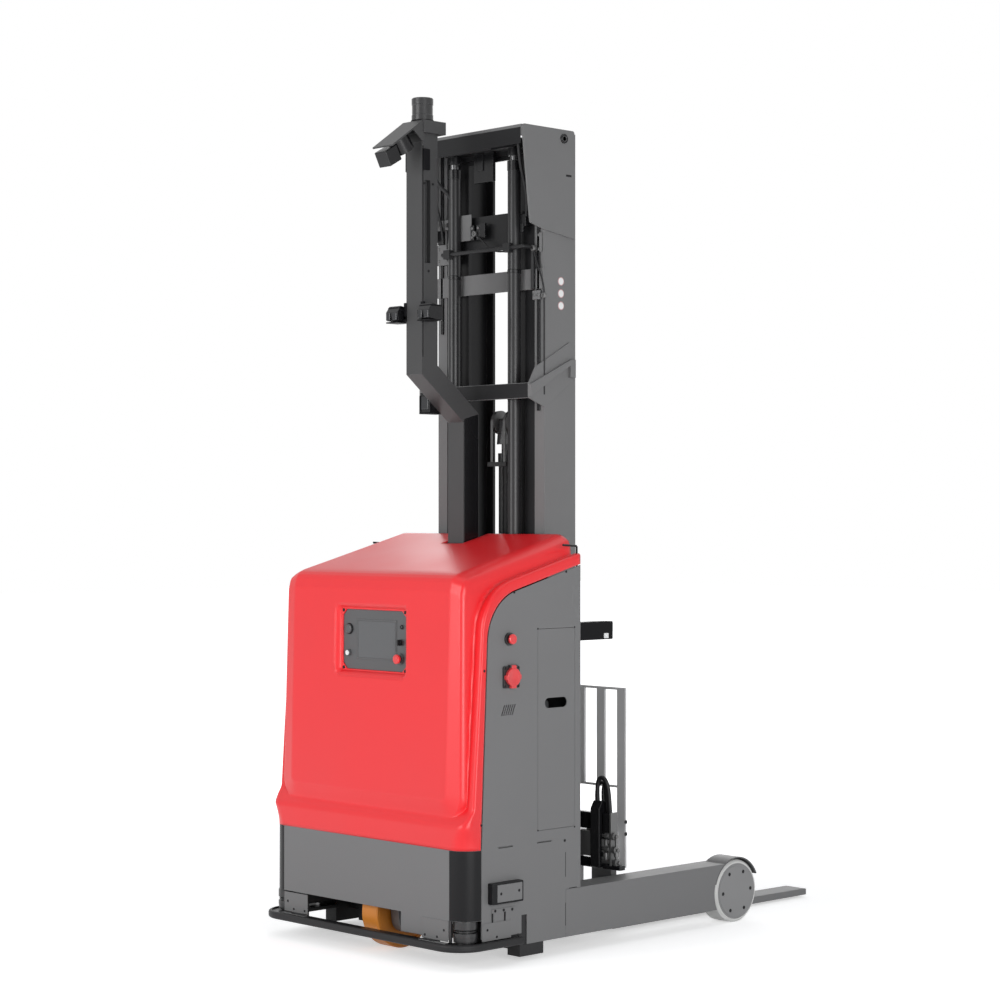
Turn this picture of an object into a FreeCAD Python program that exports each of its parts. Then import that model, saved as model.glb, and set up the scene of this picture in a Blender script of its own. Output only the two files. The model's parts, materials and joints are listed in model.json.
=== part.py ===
import FreeCAD, Part
import os
import re
from math import cos, pi, sin

import Sketcher
from FreeCAD import Placement, Rotation, Vector

# Driverless reach truck, in millimetres.  +Z is up, the floor is Z = 0 and +Y points to the
# fork tips.  Sizes along Y are measured from the front face of the skirt; every sub-part is
# then placed ROW_MIDDLE further forward, so that the origin is the middle of the footprint.

SIZES = {
    # body and cover
    "body_width": 1270, "skin": 5, "shell": 4, "seam": 1, "corner_round": 93, "corner_flat": 2,
    "cabinet_back": 679, "panel_base": 121, "leg_base": 72, "panel_step_y": 357,
    "cover_base": 490, "cover_foot_y": 90, "shoulder_y": 134, "shoulder_z": 1516,
    "cover_back_z": 1661, "shoulder_round": 224, "tray_inset": 45, "tray_foot_y": 8,
    "tray_foot_z": 604, "tray_top_y": 36, "roof_front_z": 1619, "roof_back_z": 1790,
    "brow_round": 55, "tray_corner": 85, "tray_bevel": 70, "tray_proud": 20,
    "roof_bevel": 84, "roof_drop": 48, "band_back": 105, "band_top_z": 720,
    "recess_side": 29, "recess_shift": 2, "recess_above": 26,
    "recess_floor_y": 55, "recess_round": 30, "post_notch": 62,
    # skirt, bumper and corner sensors
    "skirt_left_z": 203, "skirt_step_x": 242, "skirt_corner": 97, "skirt_corner_z": 200,
    "bumper_side": 30, "bumper_overhang": 60, "bumper_base": 79, "bumper_height": 32,
    "bumper_plate_z": 88, "bumper_plate": 16, "rubber": 15, "bumper_round": 133,
    "bumper_back": 312, "bumper_arm": 95, "stay_x": 428, "stay_width": 80,
    "scanner_inset": 60, "scanner_y": 60, "scanner_radius": 50, "scanner_height": 95.5,
    # side panel fittings
    "door_front": 422, "door_back": 644, "door_base": 541, "door_top": 1389, "door_round": 14,
    "door_gap": 1.5, "hinge_radius": 1.8, "hinge_inset": 2.5, "hinge_bite": 10,
    "slot_y": 530, "slot_z": 1075, "slot_length": 133, "slot_height": 43,
    "estop_y": 252, "estop_z": 1354, "estop_collar": 27, "estop_cap": 21, "estop_stem": 8,
    "estop_travel": 5, "estop_depth": 29, "socket_y": 261, "socket_z": 1196,
    "socket_side": 92, "socket_bore": 28, "vent_y": 249, "vent_z": 1059, "vent_slots": 6,
    "contact_y": 220, "contact_z": 306, "contact_length": 178, "contact_height": 87,
    "contact_depth": 28, "cable_slot_y": 341, "cable_slot_z": 140,
    # operator panel
    "panel_x": 14, "panel_z": 1333, "panel_width": 410, "panel_height": 257, "panel_plate": 3,
    "panel_chamfer": 26, "screen_shift": 14, "screen_rise": 2, "screen_width": 258,
    "screen_height": 173, "knob_radius": 14, "button_radius": 11, "control_travel": 3,
    # chassis
    "deck_z": 455, "deck": 20, "bulkhead_y": 405, "bulkhead": 15, "bulkhead_top": 1470,
    "rear_wall_y": 652, "rear_wall": 10, "rear_wall_top": 1600, "beam_width": 75,
    "beam_top": 280, "shelf_z": 530, "shelf": 10, "roof_beam_z": 1560, "roof_beam": 20,
    "jack_y": 316, "jack_length": 139, "jack_base": 22, "jack_width": 74,
    # drive unit
    "drive_y": 190, "drive_radius": 160, "drive_width": 100, "drive_tread": 22,
    "drive_axle": 32, "turret_radius": 150, "turret_base": 340, "ring_z": 475.3,
    "ring_height": 20, "gear_module": 6, "ring_teeth": 60, "pinion_teeth": 12,
    "motor_radius": 95, "motor_top": 760, "steer_motor_radius": 54, "steer_motor_top": 690,
    "steer_bracket_z": 506, "running": 0.05, "seat": 0.3,
    # legs and load wheels
    "leg_start": 590, "leg_top": 275, "leg_width": 130, "leg_web": 18, "channel_base": 110,
    "channel_top": 240, "channel_end": 1540, "wheel_y": 1711, "wheel_radius": 142.5,
    "wheel_span": 111, "hub_radius": 126.5, "axle_radius": 22, "axle_length": 80,
    "wheel_inset": 3, "fender_gap": 8, "fender": 6,
    # reach carriage
    "reach_gap": 5, "reach_plate": 20, "reach_low_z": 115, "reach_high_z": 235,
    "reach_front": 715, "reach_back": 1005, "roller_front_y": 785, "roller_back_y": 935,
    "reach_roller_width": 42, "reach_stub": 20, "roller_play": 0.3, "cross_base": 62,
    "cross": 20, "cross_front": 740, "cross_back": 950, "reach_travel": 490,
    "ram_x": 330, "ram_z": 175, "ram_radius": 38, "ram_bore": 30, "ram_rod": 20,
    "ram_start": 60, "ram_end": 690,
    # mast
    "mast_top": 3577, "outer_face": 345, "outer_width": 60, "outer_web": 15,
    "outer_front": 750, "outer_depth": 195, "outer_flange": 18, "stage_gap": 5,
    "mid_width": 60, "mid_web": 15, "mid_front": 755, "mid_depth": 185, "mid_flange": 16,
    "inner_width": 55, "inner_web": 13, "inner_front": 768, "inner_depth": 167,
    "inner_flange": 14, "stage_drop": 20, "stub_radius": 18, "mast_roller_width": 32,
    "mast_roller_z": 182, "tie": 10, "tie_plate": 8, "lift_x": 195, "lift_y": 711, "lift_radius": 29,
    "lift_bore": 24, "lift_rod": 20, "lift_barrel_top": 3440, "free_radius": 35,
    "free_bore": 29, "free_rod": 22, "free_barrel_top": 2150, "head_z": 2190,
    "sheave_z": 2290, "sheave_radius": 46, "sheave_x": 40, "sheave_width": 20,
    "chain": 8, "chain_width": 14, "bar_y": 650, "bar_plate": 14, "bar_base": 2382,
    "bar_height": 67, "head_plate": 8, "head_front": 606,
    "pipe_drop": 525, "pipe_radius": 9, "pipe_reach": 95, "pipe_clamp": 40, "pipe_fall": 185,
    # fork carriage and forks
    "carriage_half": 155, "carriage_plate": 20, "carriage_front": 960, "face_plate": 25,
    "face_half": 330, "face_base": 330, "face_top": 610, "carriage_top": 760,
    "carriage_roller_low": 390, "carriage_roller_high": 690, "shift_plate": 27,
    "shift_half": 300, "pivot_y": 1042, "pivot_z": 355, "pivot_radius": 12,
    "fork_bar_y": 1085, "fork_bar": 22, "fork_bar_half": 430, "fork_low_z": 100,
    "fork_high_z": 400, "fork_bar_height": 50, "fork_outer": 410, "fork_width": 120,
    "fork_base": 12, "fork_thick": 38, "fork_tip_y": 2497, "fork_tip_thick": 30,
    "rest_half": 465, "rest_bar": 49, "rest_bars": 8, "rest_clear": 15, "rest_low_z": 645,
    "rest_top": 1095, "rest_y": 1140, "rest": 10, "camera_y": 1204, "camera_z": 1308,
    "camera_height": 81, "camera_width": 60,
    # sensor post
    "post_half": 50, "post_y": 538, "post_depth": 94, "post_bend_z": 2282, "post_top_y": 290,
    "post_upper_z": 2485, "post_top": 3535, "head_box_half": 70, "head_box_y": 285,
    "head_box_depth": 130, "head_box": 55, "hood_reach": 178, "hood_drop": 128,
    "lidar_y": 340, "lidar_radius": 48, "lidar_height": 105, "scan_radius": 48,
    "scan_length": 72, "hood_angle": 36,
}

DERIVED = {
    "recess_x": "panel_x - recess_shift", "recess_z": "panel_z - 1",
    "recess_width": "panel_width + 2 * recess_side", "recess_height": "panel_height + 2 * recess_above",
    "screen_x": "panel_x + screen_shift", "screen_z": "panel_z + screen_rise",
    "tray_half": "body_width / 2 - tray_inset", "skirt_corner_x": "body_width / 2 - skirt_corner",
    "bumper_open": "body_width / 2 - bumper_arm", "scanner_x": "body_width / 2 - scanner_inset",
    "beam_inner": "body_width / 2 - beam_width", "leg_inner": "body_width / 2 - leg_width",
    "wheel_inner": "body_width / 2 - wheel_span", "rest_base": "leg_top + rest_clear",
    "reach_plate_in": "leg_inner - reach_gap - reach_plate",
}
HALF = "(body_width / 2)"
ROW_MIDDLE = "((fork_tip_y - bumper_overhang) / 2)"
PANEL_IN = f"({HALF} - skin)"

doc = FreeCAD.newDocument("reach_truck")
sheet = doc.addObject("Spreadsheet::Sheet", "sizes")
WORD = re.compile(r"[a-z][a-z0-9_]*")
AXIS_TURN = {"x": Rotation(Vector(0, 1, 0), 90), "y": Rotation(Vector(1, 0, 0), -90),
             "z": Rotation()}
PLANES = {"XY": ("XY_Plane", Vector(0, 0, 1)), "XZ": ("XZ_Plane", Vector(0, -1, 0)),
          "YZ": ("YZ_Plane", Vector(1, 0, 0))}
place_y = {}
nodes = []


def fill_sheet():
    """Write every driving size into its own named cell."""
    for row, (name, value) in enumerate(SIZES.items(), start=1):
        sheet.set(f"A{row}", name)
        sheet.set(f"B{row}", str(value))
        sheet.setAlias(f"B{row}", name)
    doc.recompute()


def bound(text):
    """Turn size names in an expression into references to their cells."""

    def cell(word):
        name = word.group()
        if name in DERIVED:
            return f"({bound(DERIVED[name])})"
        return f"sizes.{name}" if name in SIZES else name
    return WORD.sub(cell, str(text))


def place(solid, **positions):
    """Bind an object's place along x, y and z to expressions."""
    for axis, text in positions.items():
        solid.setExpression(f".Placement.Base.{axis}", bound(text))
    if "y" in positions:
        place_y[solid.Name] = str(positions["y"])


def both(half):
    """Span from minus to plus a half width."""
    return (f"-({half})", half)


def block(name, x, y, z):
    """Box between a low and a high face along each axis."""
    solid = doc.addObject("Part::Box", name)
    for size, (low, high) in zip(("Length", "Width", "Height"), (x, y, z)):
        solid.setExpression(size, bound(f"({high}) - ({low})"))
    place(solid, x=x[0], y=y[0], z=z[0])
    return solid


def rod(name, axis, centre, radius, span):
    """Cylinder along an axis; centre gives its place on the two other axes in order."""
    solid = doc.addObject("Part::Cylinder", name)
    solid.Placement = Placement(Vector(), AXIS_TURN[axis])
    others = [letter for letter in "xyz" if letter != axis]
    place(solid, **dict(zip(others, centre)), **{axis: span[0]})
    solid.setExpression("Radius", bound(radius))
    solid.setExpression("Height", bound(f"({span[1]}) - ({span[0]})"))
    return solid


def fuse(name, *solids):
    """Union of two or more solids."""
    result = doc.addObject("Part::MultiFuse", name)
    result.Shapes = list(solids)
    return result


def cut(name, base, *tools):
    """Base solid less one or more tools."""
    result = doc.addObject("Part::Cut", name)
    result.Base = base
    result.Tool = tools[0] if len(tools) == 1 else fuse(f"{name}_tools", *tools)
    return result


def common(name, first, second):
    """The space that two solids share."""
    result = doc.addObject("Part::Common", name)
    result.Base = first
    result.Tool = second
    return result


def mirror(name, source):
    """The same solid on the other side of the truck's middle plane."""
    result = doc.addObject("Part::Mirroring", name)
    result.Source = source
    result.Normal = Vector(1, 0, 0)
    return result


def pair(name, source):
    """A right-hand solid and its left-hand twin."""
    result = doc.addObject("Part::Compound", name)
    result.Links = [source, mirror(f"{name}_left", source)]
    return result


def origin_part(body, role):
    """One of a body's own origin planes or axes."""
    return next(part for part in body.Origin.OriginFeatures if part.Role == role)


def outline(body, plane, corners, offset="0"):
    """Closed sketch whose corners are bound to pairs of expressions."""
    sketch = body.newObject("Sketcher::SketchObject", f"{body.Name}_sketch")
    sketch.AttachmentSupport = [(origin_part(body, PLANES[plane][0]), "")]
    sketch.MapMode = "FlatFace"
    sketch.setExpression(".AttachmentOffset.Base.z", bound(offset))
    count = len(corners)
    start = [Vector(100 * cos(2 * pi * k / count), 100 * sin(2 * pi * k / count), 0)
             for k in range(count)]
    for k in range(count):
        sketch.addGeometry(Part.LineSegment(start[k], start[(k + 1) % count]))
    for k in range(count):
        sketch.addConstraint(Sketcher.Constraint("Coincident", k, 2, (k + 1) % count, 1))
    for k, corner in enumerate(corners):
        for kind, guess, text in (("DistanceX", start[k].x, corner[0]),
                                  ("DistanceY", start[k].y, corner[1])):
            index = sketch.addConstraint(Sketcher.Constraint(kind, k, 1, guess))
            sketch.setExpression(f"Constraints[{index}]", bound(text))
    return sketch


def straight_edges(shape, direction, near=None):
    """Names of the straight edges along a direction, through given points if any."""
    names = []
    for number, edge in enumerate(shape.Edges, start=1):
        if not isinstance(edge.Curve, (Part.Line, Part.LineSegment)):
            continue
        way = edge.tangentAt(edge.FirstParameter)
        if way.cross(direction).Length > 1e-4:
            continue
        middle = edge.CenterOfMass
        if near is None or any((middle - spot).cross(direction).Length < 0.01 for spot in near):
            names.append(f"Edge{number}")
    return names


def fillet(body, names, radius):
    """Round named edges of a body's last feature."""
    feature = body.newObject("PartDesign::Fillet", f"{body.Name}_fillet")
    feature.Base = (feature.BaseFeature, names)
    feature.setExpression("Radius", bound(radius))
    doc.recompute()
    return feature


def chamfer(body, names, first, second, flip=False):
    """Bevel named edges of a body's last feature by two different distances."""
    feature = body.newObject("PartDesign::Chamfer", f"{body.Name}_chamfer")
    feature.Base = (feature.BaseFeature, names)
    feature.ChamferType = "Two distances"
    feature.FlipDirection = flip
    feature.setExpression("Size", bound(first))
    feature.setExpression("Size2", bound(second))
    doc.recompute()
    return feature


def prism(name, plane, corners, span):
    """Padded outline; a corner's third value is the radius that rounds it."""
    body = doc.addObject("PartDesign::Body", name)
    low, high = span
    offset = f"-({high})" if plane == "XZ" else low
    sketch = outline(body, plane, corners, offset)
    pad = body.newObject("PartDesign::Pad", f"{name}_pad")
    pad.Profile = sketch
    pad.setExpression("Length", bound(f"({high}) - ({low})"))
    doc.recompute()
    direction = PLANES[plane][1]
    for radius in dict.fromkeys(corner[2] for corner in corners if len(corner) > 2):
        spots = []
        for k, corner in enumerate(corners):
            if len(corner) > 2 and corner[2] == radius:
                spots.append(sketch.Placement.multVec(sketch.Geometry[k].StartPoint))
        fillet(body, straight_edges(body.Tip.Shape, direction, spots), radius)
    return body


def turned(name, axis, corners, **positions):
    """Solid of revolution; corners are (along the axis, radius) pairs."""
    body = doc.addObject("PartDesign::Body", name)
    if axis == "x":
        sketch = outline(body, "XY", corners)
    else:
        plane = "XY" if axis == "y" else "XZ"
        sketch = outline(body, plane, [(radius, along) for along, radius in corners])
    spin = body.newObject("PartDesign::Revolution", f"{name}_turn")
    spin.Profile = sketch
    spin.ReferenceAxis = (sketch, ["H_Axis" if axis == "x" else "V_Axis"])
    spin.Angle = 360
    place(body, **positions)
    doc.recompute()
    return body


def node(solid, label):
    """Name a finished sub-part and move it from skirt to footprint coordinates."""
    solid.Label = label
    solid.setExpression(".Placement.Base.y",
                        bound(f"({place_y.get(solid.Name, '0')}) - {ROW_MIDDLE}"))
    nodes.append(solid)
    return solid


def left_node(source, label):
    """Left-hand twin of a finished right-hand sub-part."""
    twin = mirror(f"{label}_twin", source)
    twin.Label = label
    nodes.append(twin)
    return twin


def seam_profile(inset, back, base):
    """Side outline that cover and side panel share, moved in by an inset."""
    return [(f"cover_foot_y + {inset}", base),
            (f"shoulder_y + {inset}", f"shoulder_z - {inset}", f"shoulder_round - {inset}"),
            (back, f"cover_back_z - {inset}"), (back, base)]


def make_cover():
    """Moulded front cover: flange, raised tray with bevelled face, lip band and roof."""
    flange = prism("flange", "YZ", seam_profile("0", "cabinet_back", "cover_base"), both(HALF))
    tray = raised_tray("tray", "0")
    band = lip_band("band", "0")
    tub = common("tub", tray, prism("tub_block", "XZ", recess_outline("2 * shell"),
                                    ("-bumper_overhang", "recess_floor_y + shell")))
    skin_solid = fuse("cover_outer", flange, tray, band)
    flange_in = prism("flange_in", "YZ", seam_profile("shell", "cabinet_back + 1", "cover_base - 1"),
                      both(f"{HALF} + 1"))
    shell_solid = cut("cover_open_tray", cut("cover_open_flange", skin_solid, flange_in),
                      raised_tray("tray_in", "shell"))
    shell_solid = cut("cover_shell", shell_solid, lip_band("band_in", "shell"))
    recess = prism("recess", "XZ", recess_outline("0"), ("-bumper_overhang", "recess_floor_y"))
    notch = block("notch", both("post_notch"), ("post_y - 12", "cabinet_back + 1"),
                  ("roof_front_z - 60", "roof_back_z + 10"))
    node(cut("front_cover", fuse("cover_with_tub", shell_solid, tub), recess, notch),
         "front_cover")


TRAY_LEAN = "atan((tray_top_y - tray_foot_y) / (roof_front_z - tray_foot_z))"


def raised_tray(name, inset):
    """Leaning front tray with its roof, moved in by an inset."""
    back = "cabinet_back" if inset == "0" else "cabinet_back + 1"
    half = f"tray_half - {inset}"
    slab = prism(f"{name}_slab", "YZ",
                 [(f"tray_foot_y + {inset}", f"tray_foot_z + {inset}"),
                  (f"tray_top_y + {inset}", f"roof_front_z - {inset}", "brow_round"),
                  (back, f"roof_back_z - {inset}"), (back, f"tray_foot_z + {inset}")], both(half))
    shape = slab.Tip.Shape
    bevel = [f"Edge{number}" for number, edge in enumerate(shape.Edges, start=1)
             if abs(edge.CenterOfMass.x) > shape.BoundBox.XMax - 1
             and edge.BoundBox.YMin > shape.BoundBox.YMin + 40
             and edge.CenterOfMass.z > shape.BoundBox.ZMax - 200
             and edge.BoundBox.YLength > 100]
    chamfer(slab, bevel, "roof_drop", "roof_bevel")
    foot_z, top_z = f"tray_foot_z + {inset}", "roof_back_z + 1"
    corner = f"tray_corner - {inset}"
    face = prism(f"{name}_face", "XZ", [(f"-({half})", foot_z, corner), (half, foot_z, corner),
                                        (half, top_z), (f"-({half})", top_z)],
                 ("0", "cabinet_back + 2"))
    blank = common(f"{name}_blank", slab, face)
    reach = "roof_front_z - tray_foot_z + 40"
    side = prism(f"{name}_side_bevel", "XY",
                 [(half, f"tray_proud + {inset}"), (f"{half} - tray_bevel", inset),
                  (f"{half} - tray_bevel", "-tray_proud"), ("tray_half + tray_proud", "-tray_proud"),
                  ("tray_half + tray_proud", f"tray_proud + {inset}")], ("-tray_proud", reach))
    low = prism(f"{name}_low_bevel", "YZ",
                [(f"tray_proud + {inset}", inset), (inset, f"tray_bevel + {inset}"),
                 ("-tray_proud", f"tray_bevel + {inset}"), ("-tray_proud", "-tray_proud"),
                 (f"tray_proud + {inset}", "-tray_proud")], both("tray_half + tray_proud"))
    for bevel_tool in (side, low):
        bevel_tool.Placement = Placement(Vector(), Rotation(Vector(-1, 0, 0), 1))
        bevel_tool.setExpression(".Placement.Rotation.Angle", bound(TRAY_LEAN))
        place(bevel_tool, x="0", y="tray_foot_y", z="tray_foot_z")
    return cut(name, blank, side, low, mirror(f"{name}_far_bevel", side))


def lip_band(name, inset):
    """Full-width band above the skirt, with the skirt's rounded corners."""
    base = "cover_base" if inset == "0" else "cover_base - 1"
    band = prism(name, "YZ",
                 [(inset, base), (inset, f"tray_foot_z - {inset}"),
                  (f"band_back + {inset}", f"band_top_z - {inset}"),
                  (f"band_back + 60 + {inset}", f"band_top_z - {inset}"),
                  (f"band_back + 60 + {inset}", base)], both(f"{HALF} - {inset}"))
    shape = band.Tip.Shape
    corner = [f"Edge{number}" for number, edge in enumerate(shape.Edges, start=1)
              if edge.BoundBox.YMax < shape.BoundBox.YMin + 0.01
              and edge.BoundBox.XLength < 0.01]
    fillet(band, corner, f"corner_round - {inset}")
    return band


def recess_outline(grow):
    """Rounded front outline of the control recess, grown by a margin."""
    half_x = f"(recess_width / 2 + {grow})"
    half_z = f"(recess_height / 2 + {grow})"
    return [(f"recess_x {a} {half_x}", f"recess_z {b} {half_z}", f"recess_round + {grow}")
            for a, b in (("-", "-"), ("+", "-"), ("+", "+"), ("-", "+"))]


def bent_strip(name, half, front, radius, thick, back, z):
    """U-shaped strip that wraps the truck's front, as one padded outline."""
    inner_half = f"({half} - {thick})"
    inner_front = f"({front} + {thick})"
    corners = [(f"-{half}", back), (f"-{half}", front, radius), (half, front, radius),
               (half, back), (inner_half, back),
               (inner_half, inner_front, f"{radius} - {thick}"),
               (f"-{inner_half}", inner_front, f"{radius} - {thick}"), (f"-{inner_half}", back)]
    return prism(name, "XY", corners, z)


def make_skirt():
    """Grey skirt sheet with the drive-wheel window and the scanner corners cut out."""
    sheet_metal = bent_strip("skirt_sheet", HALF, "0", "corner_round", "shell",
                             "corner_round + corner_flat", ("panel_base", "cover_base"))
    window = block("skirt_window", (f"-{HALF} - 1", "skirt_step_x"), ("-1", "corner_round + 9"),
                   ("panel_base - 1", "skirt_left_z"))
    corner = block("skirt_corner", ("skirt_corner_x", f"{HALF} + 1"), ("-1", "corner_round + 9"),
                   ("panel_base - 1", "skirt_corner_z"))
    node(cut("front_skirt", sheet_metal, window, corner), "front_skirt")


def make_bumper():
    """Floor-level bumper: steel plate with stays, and its rubber edge."""
    plate_half = f"({HALF} + bumper_side - rubber)"
    plate_front = "(rubber - bumper_overhang)"
    z = ("bumper_plate_z", "bumper_plate_z + bumper_plate")
    corners = [(f"-{plate_half}", "bumper_back"),
               (f"-{plate_half}", plate_front, "bumper_round - rubber"),
               (plate_half, plate_front, "bumper_round - rubber"), (plate_half, "bumper_back"),
               ("bumper_open", "bumper_back"), ("bumper_open", "rubber", "bumper_round / 3"),
               ("-bumper_open", "rubber", "bumper_round / 3"), ("-bumper_open", "bumper_back")]
    plate = prism("bumper_sheet", "XY", corners, z)
    top = z[1]
    stay = block("stay", ("stay_x - stay_width / 2", "stay_x + stay_width / 2"),
                 ("shell + 1", "shell + 13"), (f"{top} - 2", "deck_z"))
    foot = block("stay_foot", ("stay_x - stay_width / 2", "stay_x + stay_width / 2"),
                 ("-18", "shell + 13"), (f"{top} - 2", f"{top} + 8"))
    lug = block("side_lug", ("beam_inner + 10", f"{PANEL_IN} - 2"), ("bumper_back - 40", "bumper_back"),
                (f"{top} - 2", "panel_base + 1"))
    parts = [plate]
    for solid in (stay, foot, lug):
        parts += [solid, mirror(f"{solid.Name}_left", solid)]
    node(fuse("bumper_plate", *parts), "bumper_plate")
    edge = bent_strip("bumper_rubber", f"({HALF} + bumper_side)", "(-bumper_overhang)",
                      "bumper_round", "rubber", "bumper_back",
                      ("bumper_base", "bumper_base + bumper_height"))
    shape = edge.Tip.Shape
    rim = [f"Edge{number}" for number, item in enumerate(shape.Edges, start=1)
           if item.BoundBox.ZLength < 0.01 and item.BoundBox.YMin < shape.BoundBox.YMin + 1
           and item.BoundBox.YLength < 0.01]
    fillet(edge, rim, "rubber - 4")
    node(edge, "bumper_edge")
    scanner = turned("scanner", "z",
                     [("0", "0"), ("0", "scanner_radius - 10"), ("8", "scanner_radius - 10"),
                      ("8", "scanner_radius"), ("36", "scanner_radius"),
                      ("44", "scanner_radius - 12"), ("58", "scanner_radius - 12"),
                      ("66", "scanner_radius"), ("scanner_height", "scanner_radius"),
                      ("scanner_height", "0")],
                     x="scanner_x", y="scanner_y", z=top)
    node(pair("corner_scanners", scanner), "corner_scanners")




def panel_outline():
    """Outline of a side panel in the YZ plane, following the cover's seam."""
    edge = "(shell + seam)"
    front = "corner_round + corner_flat + seam"
    return [(front, "panel_base"), (front, "cover_base"),
            (f"shoulder_y + {edge}", f"shoulder_z - {edge}", f"shoulder_round - {edge}"),
            ("cabinet_back", f"cover_back_z - {edge}"), ("cabinet_back", "leg_top + seam"),
            ("leg_start - seam", "leg_top + seam"), ("leg_start - seam", "leg_base"),
            ("panel_step_y", "leg_base"), ("panel_step_y", "panel_base")]


def door_outline(grow):
    """Rounded outline of the service door or its opening."""
    low_y, high_y = f"(door_front - {grow})", f"(door_back + {grow})"
    low_z, high_z = f"(door_base - {grow})", f"(door_top + {grow})"
    radius = f"door_round + {grow}"
    return [(low_y, low_z, "hinge_inset"), (high_y, low_z, radius), (high_y, high_z, radius),
            (low_y, high_z, "hinge_inset")]


def make_panels():
    """Side panels with their cut-outs, and the right-hand service door."""
    wall = (PANEL_IN, HALF)
    through = (f"{PANEL_IN} - 2", f"{HALF} + 2")
    stem = rod("estop_hole", "x", ("estop_y", "estop_z"), "estop_stem + 3", through)
    left_blank = prism("left_blank", "YZ", panel_outline(), wall)
    left_right_side = cut("left_blank_cut", left_blank, stem)
    place_y[left_right_side.Name] = "0"
    twin = mirror("left_side_twin", left_right_side)
    node(twin, "left_side_panel")

    hinge_line = (f"{HALF} - skin / 2", "door_front + hinge_inset")
    pin_holes = [rod("pin_hole_low", "z", hinge_line, "hinge_radius + running",
                     ("door_base - hinge_bite", "door_base + 1")),
                 rod("pin_hole_high", "z", hinge_line, "hinge_radius + running",
                     ("door_top - 1", "door_top + hinge_bite"))]
    opening = prism("door_opening", "YZ", door_outline("door_gap"), through)
    socket_hole = rod("socket_hole", "x", ("socket_y", "socket_z"), "socket_bore + 6", through)
    cable_slot = block("cable_slot", through, ("cable_slot_y - 16", "cable_slot_y + 15.9"),
                       ("cable_slot_z - 56", "cable_slot_z + 57"))
    slots = []
    for number in range(int(SIZES["vent_slots"])):
        step = f"({number} - (vent_slots - 1) / 2) * 12"
        slots.append(prism(f"vent_slot_{number}", "YZ",
                           [(f"vent_y + {step} - 12", "vent_z - 22"),
                            (f"vent_y + {step} - 6", "vent_z - 22"),
                            (f"vent_y + {step} + 12", "vent_z + 22"),
                            (f"vent_y + {step} + 6", "vent_z + 22")], through))
    dashes = [block("dash_low", through, ("leg_start - 3", "leg_start - 1.5"), ("119", "221")),
              block("dash_high", through, ("leg_start - 3", "leg_start - 1.5"), ("328", "434")),
              block("dash_front", through, ("189", "275"), ("492", "493.5")),
              block("dash_mid", through, ("418", "506"), ("492", "493.5"))]
    panel = prism("right_blank", "YZ", panel_outline(), wall)
    node(cut("right_side_panel", panel, stem, opening, socket_hole, cable_slot, *pin_holes,
             *slots, *dashes), "right_side_panel")

    leaf = prism("door_leaf", "YZ", door_outline("0"), wall)
    pins = [rod("pin_low", "z", hinge_line, "hinge_radius",
                ("door_base - hinge_bite + 1", "door_base + 20")),
            rod("pin_high", "z", hinge_line, "hinge_radius",
                ("door_top - 20", "door_top + hinge_bite - 1"))]
    reach = "(slot_length - slot_height) / 2"
    grip = fuse("grip_slot",
                block("grip_mid", through, (f"slot_y - {reach}", f"slot_y + {reach}"),
                      ("slot_z - slot_height / 2", "slot_z + slot_height / 2")),
                rod("grip_front", "x", (f"slot_y - {reach}", "slot_z"), "slot_height / 2", through),
                rod("grip_back", "x", (f"slot_y + {reach}", "slot_z"), "slot_height / 2", through))
    rib = block("door_rib", (f"{PANEL_IN} - 12", f"{PANEL_IN} + 1"), ("door_back - 30", "door_back - 26"),
                ("door_base + 40", "door_top - 40"))
    node(cut("service_door", fuse("door_with_pins", leaf, rib, *pins), grip), "service_door")


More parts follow.
